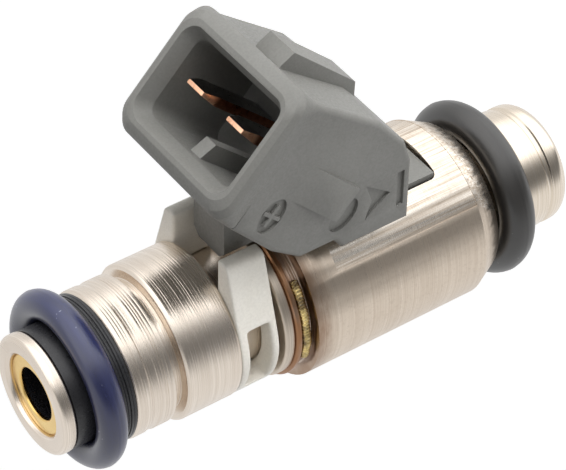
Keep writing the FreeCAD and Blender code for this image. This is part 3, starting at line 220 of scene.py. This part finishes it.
class Nodes:
    """A small wrapper that keeps node trees readable."""

    def __init__(self, name):
        self.material = bpy.data.materials.new(name)
        self.material.use_nodes = True
        self.tree = self.material.node_tree
        self.shader = self.tree.nodes["Principled BSDF"]
        self.coordinates = self.tree.nodes.new("ShaderNodeTexCoord").outputs["Object"]

    def add(self, kind, **settings):
        """A new node with its settings."""
        node = self.tree.nodes.new(kind)
        for key, value in settings.items():
            setattr(node, key, value)
        return node

    def link(self, source, target):
        """Joins an output socket to an input socket."""
        self.tree.links.new(source, target)

    def mapped(self, scale):
        """The object's coordinates, scaled along each axis."""
        node = self.add("ShaderNodeMapping")
        node.inputs["Scale"].default_value = scale
        self.link(self.coordinates, node.inputs["Vector"])
        return node.outputs["Vector"]

    def noise(self, scale, detail=3.0, rough=0.55, vector=None, distortion=0.0):
        """A noise pattern over the object's coordinates, or over a vector."""
        node = self.add("ShaderNodeTexNoise")
        node.inputs["Scale"].default_value = scale
        node.inputs["Detail"].default_value = detail
        node.inputs["Roughness"].default_value = rough
        node.inputs["Distortion"].default_value = distortion
        self.link(vector or self.coordinates, node.inputs["Vector"])
        return node.outputs["Fac"]

    def spread(self, value, low, high, new_low, new_high, smooth=False):
        """A value carried from one range to another."""
        node = self.add("ShaderNodeMapRange")
        if smooth:
            node.interpolation_type = "SMOOTHSTEP"
        node.inputs["From Min"].default_value = low
        node.inputs["From Max"].default_value = high
        node.inputs["To Min"].default_value = new_low
        node.inputs["To Max"].default_value = new_high
        self.link(value, node.inputs["Value"])
        return node.outputs["Result"]

    def math(self, operation, first, second=None):
        """An arithmetic node on sockets or plain numbers."""
        node = self.add("ShaderNodeMath", operation=operation)
        for index, value in enumerate((first, second)):
            if value is None:
                continue
            if isinstance(value, (int, float)):
                node.inputs[index].default_value = value
            else:
                self.link(value, node.inputs[index])
        return node.outputs["Value"]

    def mix(self, factor, first, second):
        """A colour between two colours, each a socket or a tuple."""
        node = self.add("ShaderNodeMix", data_type="RGBA")
        self.link(factor, node.inputs["Factor"])
        for name, value in (("A", first), ("B", second)):
            socket = next(s for s in node.inputs if s.name == name and s.type == "RGBA")
            if isinstance(value, tuple):
                socket.default_value = (*value, 1)
            else:
                self.link(value, socket)
        return next(s for s in node.outputs if s.type == "RGBA")

    def axes(self):
        """The object's X, Y and Z coordinates as separate sockets."""
        node = self.add("ShaderNodeSeparateXYZ")
        self.link(self.coordinates, node.inputs["Vector"])
        return node.outputs["X"], node.outputs["Y"], node.outputs["Z"]

    def bump(self, height, distance):
        """Raises the surface by a height pattern, over a distance in millimetres."""
        node = self.add("ShaderNodeBump")
        node.inputs["Strength"].default_value = 1.0
        node.inputs["Distance"].default_value = distance / 1000
        self.link(height, node.inputs["Height"])
        self.link(node.outputs["Normal"], self.shader.inputs["Normal"])

    def set(self, **sockets):
        """Sets the shader's own sockets to a linked socket, a colour or a number."""
        for name, value in sockets.items():
            socket = self.shader.inputs[name.replace("_", " ")]
            if hasattr(value, "is_linked"):
                self.link(value, socket)
            elif isinstance(value, tuple):
                socket.default_value = (*value, 1)
            else:
                socket.default_value = value


def turned_steel(name, bright, dark, low, high, ring=9000.0, depth=0.012, extra=None):
    """Lathe-turned steel: fine rings round the axis, drifting stains, and a stretched highlight."""
    n = Nodes(name)
    rings = n.noise(1.0, 4.0, 0.7, n.mapped((45, 45, ring)))
    broad = n.noise(1.0, 3.0, 0.6, n.mapped((25, 25, 1700)))
    stain = n.noise(260.0, 4.0, 0.6)
    shade = n.math("ADD", n.math("MULTIPLY", rings, 0.72), n.math("MULTIPLY", broad, 0.28))
    colour = n.mix(n.spread(shade, 0.32, 0.68, 0, 1), dark, bright)
    colour = n.mix(n.spread(stain, 0.45, 0.75, 0, 0.35), colour, dark)
    rough = n.spread(shade, 0.3, 0.7, high, low)
    if extra:
        colour, rough = extra(n, colour, rough)
    n.set(Base_Color=colour, Roughness=rough, Metallic=1.0, Anisotropic=0.5)
    tangent = n.add("ShaderNodeTangent", direction_type="RADIAL", axis="Z")
    n.link(tangent.outputs["Tangent"], n.shader.inputs["Tangent"])
    n.bump(rings, depth)
    return n.material


def heat_tint(start, end, colour, strength):
    """Brown oxide between two stations, uneven round the axis."""
    def apply(n, base, rough):
        drift = 2.2
        z = n.axes()[2]
        patches = n.noise(420.0, 3.0, 0.6, n.mapped((1, 1, 3)))
        shifted = n.math("ADD", z, n.math("MULTIPLY", n.math("SUBTRACT", patches, 0.5), drift / 1000))
        mask = n.spread(shifted, height_of(end), height_of(start), 0, strength, True)
        return n.mix(mask, base, colour), rough
    return apply


def plastic(name, colour, other, rough, depth=0.006):
    """Moulded plastic: fine spark-eroded grain and faint flow clouds."""
    n = Nodes(name)
    cloud = n.noise(190.0, 3.0, 0.6)
    fine = n.noise(5200.0, 2.0, 0.5)
    tone = n.mix(n.spread(cloud, 0.3, 0.7, 0, 1), colour, other)
    tone = n.mix(n.spread(fine, 0.3, 0.7, 0, 0.25), tone, tuple(c * 0.7 for c in colour))
    n.set(Base_Color=tone, Roughness=n.spread(fine, 0.3, 0.7, rough - 0.06, rough + 0.08))
    n.bump(fine, depth)
    return n.material


def rubber(name, colour, other, rough, dust, coat):
    """Moulded rubber: soft gloss, fine pores, faint wiping streaks and a little dust."""
    n = Nodes(name)
    streak = n.noise(1.0, 3.0, 0.6, n.mapped((160, 160, 1500)))
    pores = n.noise(3800.0, 2.0, 0.5)
    lint = n.noise(1500.0, 1.0, 0.3, distortion=1.5)
    tone = n.mix(n.spread(streak, 0.35, 0.7, 0, 1), colour, other)
    tone = n.mix(n.spread(lint, 0.79, 0.80, 0, 0.5), tone, dust)
    n.set(Base_Color=tone, Roughness=n.spread(streak, 0.3, 0.7, rough - 0.05, rough + 0.07))
    n.set(Coat_Weight=coat, Coat_Roughness=0.2, Specular_IOR_Level=0.75)
    n.bump(pores, 0.004)
    return n.material


# ---------------------------------------------------------------- materials

WARM = (0.80, 0.70, 0.59)
WARM_DARK = (0.62, 0.52, 0.42)

tube_steel = turned_steel("turned_tube", (0.88, 0.80, 0.71), (0.66, 0.57, 0.48), 0.16, 0.32, ring=11000)
ring_steel = turned_steel("ring_metal", (0.72, 0.63, 0.53), (0.48, 0.41, 0.34), 0.25, 0.42)
cap_steel = turned_steel("cap_metal", (0.66, 0.58, 0.51), (0.33, 0.22, 0.15), 0.22, 0.4,
                         extra=heat_tint(19.4, 20.9, (0.30, 0.14, 0.06), 0.9))
nose_steel = turned_steel("nose_metal", (0.90, 0.82, 0.72), (0.72, 0.62, 0.50), 0.12, 0.24,
                          ring=7000, depth=0.006)
inner_steel = turned_steel("inner_metal", (0.62, 0.60, 0.58), (0.42, 0.40, 0.38), 0.25, 0.4)
brass = turned_steel("filter_metal", (0.90, 0.66, 0.26), (0.62, 0.38, 0.12), 0.18, 0.32)


def housing_marks(n, base, rough):
    """Lengthwise scratches on the strip under the socket, mottling, and brown oxide by the weld."""
    x, y, z = n.axes()
    narrow = n.math("LESS_THAN", n.math("ABSOLUTE", y), STRIP_HALF / 1000)
    side = n.math("MULTIPLY", narrow, n.math("GREATER_THAN", x, 0))
    strip = n.math("MULTIPLY", side, n.math("LESS_THAN", z, height_of(STRIP_START)))
    drawn = n.noise(1.0, 4.0, 0.7, n.mapped((5200, 5200, 90)))
    lines = n.math("MULTIPLY", strip, n.spread(drawn, 0.45, 0.66, 0, 1.0))
    base = n.mix(lines, base, (0.96, 0.90, 0.82))
    # Darker lengthwise streaks on the strip, where the drawing pattern runs low.
    dark_streaks = n.math("MULTIPLY", strip, n.spread(drawn, 0.44, 0.36, 0, 0.45))
    base = n.mix(dark_streaks, base, (0.26, 0.20, 0.15))
    grain = n.noise(4200.0, 3.0, 0.7)
    base = n.mix(n.spread(grain, 0.52, 0.72, 0, 0.30), base, (0.42, 0.34, 0.27))
    base, rough = heat_tint(20.4, 23.2, (0.26, 0.15, 0.09), 0.85)(n, base, rough)
    return base, n.math("ADD", rough, n.math("MULTIPLY", lines, -0.06))


housing_steel = turned_steel("housing_metal", WARM, WARM_DARK, 0.24, 0.38, ring=12000, depth=0.004,
                             extra=housing_marks)

grey_plastic = plastic("connector_grey", (0.178, 0.176, 0.163), (0.205, 0.203, 0.190), 0.50)
cream_plastic = plastic("clip_cream", (0.86, 0.82, 0.73), (0.92, 0.89, 0.82), 0.40, depth=0.003)
black_plastic = plastic("spacer_black", (0.012, 0.012, 0.014), (0.02, 0.02, 0.022), 0.3, depth=0.002)
filter_black = plastic("filter_black", (0.008, 0.008, 0.01), (0.015, 0.015, 0.018), 0.28, depth=0.002)
bobbin_grey = plastic("bobbin_grey", (0.20, 0.20, 0.21), (0.24, 0.24, 0.25), 0.5)
blue_rubber = rubber("seal_blue", (0.009, 0.012, 0.052), (0.014, 0.019, 0.075), 0.32,
                     dust=(0.35, 0.38, 0.5), coat=0.35)
black_rubber = rubber("seal_black", (0.017, 0.016, 0.015), (0.026, 0.024, 0.022), 0.34,
                      dust=(0.2, 0.2, 0.2), coat=0.15)


def weld_metal():
    """Rough weld metal between straw and brown."""
    n = Nodes("weld_metal")
    patch = n.noise(1100.0, 3.0, 0.6)
    fine = n.noise(5200.0, 3.0, 0.6)
    colour = n.mix(n.spread(patch, 0.35, 0.65, 0, 1), (0.16, 0.11, 0.05), (0.80, 0.62, 0.26))
    colour = n.mix(n.spread(fine, 0.5, 0.8, 0, 0.5), colour, (0.85, 0.78, 0.62))
    n.set(Base_Color=colour, Roughness=n.spread(fine, 0.3, 0.7, 0.22, 0.5), Metallic=1.0)
    n.bump(fine, 0.02)
    return n.material


def blade_metal():
    """Tinned faces with bare copper along the cut edges; the copper's darkening deeper in the socket and
    brightening towards its mouth are painted shade and painted light.
    """
    n = Nodes("blade_metal")
    normal = n.add("ShaderNodeNewGeometry").outputs["True Normal"]
    direction = n.add("ShaderNodeVectorMath", operation="DOT_PRODUCT")
    n.link(normal, direction.inputs[0])
    direction.inputs[1].default_value = (math.cos(SOCKET_LEAN), 0, -math.sin(SOCKET_LEAN))
    flat = n.spread(n.math("ABSOLUTE", direction.outputs["Value"]), 0.75, 0.92, 0, 1)
    fine = n.noise(2400.0, 3.0, 0.6)
    tin = n.mix(n.spread(fine, 0.3, 0.7, 0, 1), (0.16, 0.15, 0.145), (0.26, 0.245, 0.235))
    outward = Vector((math.sin(SOCKET_LEAN), 0, math.cos(SOCKET_LEAN)))
    along = n.add("ShaderNodeVectorMath", operation="DOT_PRODUCT")
    n.link(n.coordinates, along.inputs[0])
    along.inputs[1].default_value = outward
    mouth = place(SOCKET_MOUTH[0], 0, SOCKET_MOUTH[1]).dot(outward)
    lit_start, lit_full = mouth - LIT_COPPER_DEPTH[0] / 1000, mouth - LIT_COPPER_DEPTH[1] / 1000
    lit_near_mouth = n.spread(along.outputs["Value"], lit_start, lit_full, 0, 1, True)
    # The copper edges are painted dark deeper in the socket and bright near its mouth: painted shade and
    # painted light.
    shaded_copper = n.mix(n.spread(fine, 0.3, 0.7, 0, 1), (0.20, 0.075, 0.035), (0.36, 0.15, 0.08))
    lit_copper = n.mix(n.spread(fine, 0.3, 0.7, 0, 1), (0.80, 0.42, 0.25), (0.92, 0.58, 0.40))
    copper = n.mix(lit_near_mouth, shaded_copper, lit_copper)
    n.set(Base_Color=n.mix(flat, copper, tin), Roughness=n.spread(fine, 0.3, 0.7, 0.25, 0.42), Metallic=1.0)
    n.bump(fine, 0.004)
    return n.material


weld = weld_metal()
blades = blade_metal()


def wound_copper():
    """Fine enamelled wire in level turns, painted dark in the grooves between turns and bright on their
    crowns: painted shade.
    """
    n = Nodes("wound_copper")
    wave = n.add("ShaderNodeTexWave", wave_type="BANDS", bands_direction="Z", wave_profile="SIN")
    wave.inputs["Scale"].default_value = 1200
    n.link(n.coordinates, wave.inputs["Vector"])
    # The wire's colour is painted dark in the grooves between turns and bright on the crowns: painted shade,
    # not a change of colour.
    colour = n.mix(wave.outputs["Fac"], (0.30, 0.10, 0.04), (0.72, 0.33, 0.14))
    n.set(Base_Color=colour, Roughness=n.spread(wave.outputs["Fac"], 0, 1, 0.5, 0.3), Metallic=0.8)
    n.bump(wave.outputs["Fac"], 0.05)
    return n.material


copper = wound_copper()

# ---------------------------------------------------------------- turned pieces
# Each profile is a closed list of (radius, station) points, in millimetres.

tube_profile = [(3.60, 0.0), (4.45, 0.0)] + quarter((4.45, 0.45), 0.45, -90)
tube_profile += quarter((4.65, 0.9), 0.25, 0) + [(4.2, 1.15), (4.2, 5.6), (5.86, 5.6), (6.05, 5.82)]
tube_profile += turning_marks(6.1, 5.95, 6.85, 0.28, 0.035, 3)
tube_profile += [(6.02, 6.95)] + turning_marks(6.02, 7.0, 7.62, 0.3, 0.02, 5) + [(6.1, 7.7)]
tube_profile += turning_marks(6.1, 7.75, 9.0, 0.26, 0.04, 8)
tube_profile += [(6.02, 9.05), (5.4, 9.05), (5.4, 9.9), (6.2, 9.9), (6.45, 10.15)]
tube_profile += turning_marks(6.45, 10.3, 14.55, 0.21, 0.016, 13)
tube_profile += [(6.4, 14.7), (4.6, 14.7), (4.6, 22.6), (3.75, 22.6), (3.75, 30.6), (2.1, 30.6), (2.1, 13.0)]
tube_profile += [(3.35, 12.2), (3.35, 0.25)]
tube = lathe("inlet_tube_turned", soften(tube_profile, 0.09))
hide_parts("inlet_tube")
dress(tube, tube_steel)

spacer_profile = [(4.2, 1.15), (4.87, 1.15), (4.87, 4.6), (6.0, 4.6), (6.0, 4.78), (5.94, 4.83),
                  (6.0, 4.88), (6.0, 5.0), (5.9, 5.02), (5.9, 5.1), (6.0, 5.12), (6.0, 5.3),
                  (5.95, 5.34), (6.0, 5.38), (6.0, 5.6), (4.2, 5.6)]
spacer = lathe("inlet_spacer_turned", soften(spacer_profile, 0.04))
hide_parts("inlet_spacer")
dress(spacer, black_plastic)

brass_ring = lathe("filter_ring_turned", soften(
    [(2.15, 0.56), (2.26, 0.45), (3.2, 0.45), (3.35, 0.56), (3.35, 0.8), (2.15, 0.8)], 0.04))
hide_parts("filter_ring")
dress(brass_ring, brass)

holding_ring = lathe("retaining_ring_turned", soften(
    [(4.6, 18.65), (6.4, 18.65), (6.55, 18.8), (6.55, 19.42), (6.5, 19.5), (4.6, 19.5)], 0.06))
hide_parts("retaining_ring")
dress(holding_ring, ring_steel)

cap_profile = [(4.6, 19.5), (6.7, 19.5), (6.85, 19.62), (6.85, 19.9), (6.8, 20.0), (6.4, 20.05)]
cap_profile += turning_marks(6.4, 20.15, 20.95, 0.22, 0.03, 21)
cap_profile += [(6.45, 21.05), (6.6, 21.05), (6.6, 22.6), (4.6, 22.6)]
cap = lathe("end_cap_turned", soften(cap_profile, 0.05))
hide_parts("end_cap")
dress(cap, cap_steel)

nose_profile = [(3.9, 42.95), (4.9, 42.95), (5.05, 43.08), (5.05, 45.36), (4.86, 45.48), (4.82, 45.68),
                (4.86, 45.86), (5.04, 46.0), (5.05, 46.3)]
nose_profile += quarter((3.9, 46.5), 1.15, 0, 12)
nose_profile += [(2.95, 47.68), (2.8, 47.6), (2.2, 46.6), (3.9, 46.6)]
nose = lathe("nose_sleeve_turned", soften(nose_profile, 0.05))
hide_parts("nose_sleeve")
dress(nose, nose_steel)


def rubber_ring(name, node, ring, section, station, ridge):
    """A moulded rubber ring with a fine parting line round its outside and inside."""
    ridge_width = 0.045
    profile = []
    for step in range(SEAL_SIDES):
        turn = 2 * math.pi * step / SEAL_SIDES
        swell = ridge * math.exp(-(math.sin(turn) / ridge_width) ** 2)
        reach = section - SEAL_INSET + swell
        profile.append((ring + reach * math.cos(turn), station - reach * math.sin(turn)))

    def wobble(radius, level, angle):
        drift = 0.012 * math.sin(3 * angle + 0.7) + 0.006 * math.sin(7 * angle)
        return radius, level + drift

    piece = lathe(name, profile, SEAL_AROUND, 60, wobble)
    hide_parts(node)
    return piece


inlet_seal = rubber_ring("inlet_seal_ring", "inlet_oring", 6.07, 1.2, 3.3, 0.018)
dress(inlet_seal, blue_rubber)
manifold_seal = rubber_ring("manifold_seal_ring", "manifold_oring", 5.94, 1.45, 41.4, 0.02)
dress(manifold_seal, black_rubber)


def weld_seam():
    """A rippled seam laid in the cap's groove: overlapping scallops with rounded ends."""
    mesh = bpy.data.meshes.new("weld_seam")
    first, last = math.radians(-106), math.radians(-45)
    seam_radius, seam_station = 6.74, 20.38
    scallops, bead, ripple, unevenness = 27, 0.30, 0.055, 0.4
    lean = math.radians(1.1)
    steps, sides = 240, 20
    chance = random.Random(4)
    offsets = [chance.uniform(-0.05, 0.05) for _ in range(40)]
    verts, faces = [], []
    for step in range(steps + 1):
        share = step / steps
        angle = first + (last - first) * share
        end = min(share, 1 - share) * 26
        taper = math.sqrt(max(0.0, 1 - (1 - min(end, 1.0)) ** 2))
        phase = share * scallops
        count = int(phase)
        lift = bead + ripple * math.sin(math.pi * (phase - count)) + unevenness * offsets[count]
        drift = 0.6 * offsets[count + 1]
        for side in range(sides):
            turn = 2 * math.pi * side / sides
            radius = seam_radius + taper * lift * math.cos(turn)
            station = seam_station + drift + taper * (lift + 0.02) * math.sin(turn)
            theta = angle + lean * taper * math.cos(turn) ** 2
            verts.append(place(radius * math.cos(theta), radius * math.sin(theta), station))
    for step in range(steps):
        for side in range(sides):
            after = (side + 1) % sides
            faces.append((step * sides + side, step * sides + after,
                          (step + 1) * sides + after, (step + 1) * sides + side))
    faces.append(tuple(range(sides)))
    faces.append(tuple(steps * sides + side for side in reversed(range(sides))))
    mesh.from_pydata(verts, [], faces)
    work = bmesh.new()
    work.from_mesh(mesh)
    bmesh.ops.remove_doubles(work, verts=work.verts, dist=1e-7)
    bmesh.ops.recalc_face_normals(work, faces=work.faces)
    for face in work.faces:
        face.smooth = True
    work.to_mesh(mesh)
    work.free()
    return new_object("weld_seam", mesh)


seam = weld_seam()
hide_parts("weld_bead")
dress(seam, weld)

# ---------------------------------------------------------------- moulded and pressed pieces

dress(skin("connector_body", "connector_moulding", 0.07), grey_plastic)
dress(melt("clip", "clip_moulding", 0.12, 14), cream_plastic)
dress(skin("coil_housing", "coil_housing_drawn", 0.07, 2), housing_steel)
dress(skin("terminal_plus", "blade_plus", 0.06, 2), blades)
dress(skin("terminal_minus", "blade_minus", 0.06, 2), blades)

carried = {
    "filter_frame": filter_black, "filter_mesh": inner_steel, "valve_body": nose_steel,
    "valve_seat": inner_steel, "orifice_plate": inner_steel, "stem_guide": inner_steel,
    "adjusting_tube": inner_steel, "return_spring": inner_steel, "core_sleeve": inner_steel,
    "coil_bobbin": bobbin_grey, "coil_winding": copper, "flux_washer": inner_steel,
    "armature": inner_steel, "valve_stem": inner_steel, "valve_ball": nose_steel,
}
for node, material in carried.items():
    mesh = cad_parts[node].data
    mesh.materials.clear()
    mesh.materials.append(material)

# ---------------------------------------------------------------- floor, light and camera

# The camera's own directions in the world, and the point the lamps aim at; lengths here are in metres.
RIGHT = Vector((0.0184, -0.5770, -0.8165)).normalized()
UP = Vector((0.7297, 0.5660, -0.3836)).normalized()
BACK = RIGHT.cross(UP).normalized()
CENTRE = Vector((0.006, 0.0, 0.021))
CAMERA_PLACE = Vector((0.1563, -0.1308, 0.1174))
FLOOR_HALF = 6
FLOOR_Z = cad_box[0].z - 0.05
DIFFUSE_STRENGTH = 0.36

floor_mesh = bpy.data.meshes.new("floor")
floor_corners = [(-FLOOR_HALF, -FLOOR_HALF, FLOOR_Z), (FLOOR_HALF, -FLOOR_HALF, FLOOR_Z),
                 (FLOOR_HALF, FLOOR_HALF, FLOOR_Z), (-FLOOR_HALF, FLOOR_HALF, FLOOR_Z)]
floor_mesh.from_pydata(floor_corners, [], [(0, 1, 2, 3)])
floor = new_object("floor", floor_mesh)
paint = Nodes("floor_paint")
paint.set(Base_Color=paint.mix(paint.noise(3.0), (0.93, 0.93, 0.93), (0.95, 0.95, 0.95)), Roughness=0.9)
paint.set(Emission_Color=(1.0, 1.0, 1.0), Emission_Strength=0.6)
floor.data.materials.append(paint.material)
floor.visible_glossy = False


def soft_light(name, across, up, back, size, power):
    """A large soft white light aimed at the object, placed from the camera's point of view."""
    data = bpy.data.lights.new(name, "AREA")
    data.shape = "RECTANGLE"
    data.size, data.size_y = size
    data.energy = power
    lamp = bpy.data.objects.new(name, data)
    lamp.location = CENTRE + RIGHT * across + UP * up + BACK * back
    direction = CENTRE - lamp.location
    lamp.visible_glossy = False
    lamp.rotation_mode = "QUATERNION"
    lamp.rotation_quaternion = direction.to_track_quat("-Z", "Y")
    bpy.context.scene.collection.objects.link(lamp)


soft_light("right", 0.55, 0.02, 0.22, (0.35, 0.35), 18.0)
soft_light("top", 0.30, 0.50, 0.06, (0.40, 0.30), 14.0)
soft_light("front", 0.02, 0.42, 0.42, (0.40, 0.40), 4.5)


def studio():
    """A white tent with a bright window and a dark gap, as reflections see it; diffuse light is dimmer."""
    world = bpy.data.worlds.new("studio")
    bpy.context.scene.world = world
    world.use_nodes = True
    tree = world.node_tree
    background = tree.nodes["Background"]
    background.inputs["Color"].default_value = (1, 1, 1, 1)

    def add(kind, **settings):
        """A new node of the world with its settings."""
        node = tree.nodes.new(kind)
        for key, value in settings.items():
            setattr(node, key, value)
        return node

    def facing(azimuth, inner, outer, low, high):
        """Goes from high within the inner angle of an azimuth to low beyond the outer angle, in degrees."""
        across = add("ShaderNodeVectorMath", operation="MULTIPLY")
        tree.links.new(direction, across.inputs[0])
        across.inputs[1].default_value = (1, 1, 0)
        level = add("ShaderNodeVectorMath", operation="NORMALIZE")
        tree.links.new(across.outputs["Vector"], level.inputs[0])
        dot = add("ShaderNodeVectorMath", operation="DOT_PRODUCT")
        tree.links.new(level.outputs["Vector"], dot.inputs[0])
        turn = math.radians(azimuth)
        dot.inputs[1].default_value = (math.cos(turn), math.sin(turn), 0)
        ramp = add("ShaderNodeMapRange", interpolation_type="SMOOTHSTEP")
        tree.links.new(dot.outputs["Value"], ramp.inputs["Value"])
        ramp.inputs["From Min"].default_value = math.cos(math.radians(outer))
        ramp.inputs["From Max"].default_value = math.cos(math.radians(inner))
        ramp.inputs["To Min"].default_value = low
        ramp.inputs["To Max"].default_value = high
        return ramp.outputs["Result"]

    direction = add("ShaderNodeTexCoord").outputs["Generated"]
    gap = facing(azimuth=-70, inner=5, outer=42, low=1.0, high=0.20)
    window = facing(azimuth=-2, inner=30, outer=72, low=0.92, high=1.85)
    product = add("ShaderNodeMath", operation="MULTIPLY")
    tree.links.new(gap, product.inputs[0])
    tree.links.new(window, product.inputs[1])
    ray = add("ShaderNodeLightPath").outputs["Is Glossy Ray"]
    strength = add("ShaderNodeMix", data_type="FLOAT")
    tree.links.new(ray, strength.inputs["Factor"])
    strength.inputs["A"].default_value = DIFFUSE_STRENGTH
    tree.links.new(product.outputs["Value"], strength.inputs["B"])
    tree.links.new(strength.outputs["Result"], background.inputs["Strength"])


studio()

camera_data = bpy.data.cameras.new("camera")
camera_data.sensor_width = 36
camera_data.lens = 184.77
camera_data.clip_start = 0.01
camera_data.clip_end = 20
camera = bpy.data.objects.new("camera", camera_data)
aim = Matrix((RIGHT, UP, BACK)).transposed()
camera.matrix_world = Matrix.Translation(CAMERA_PLACE) @ aim.to_4x4()
bpy.context.scene.collection.objects.link(camera)
bpy.context.scene.camera = camera
bpy.context.scene.view_settings.view_transform = "Standard"
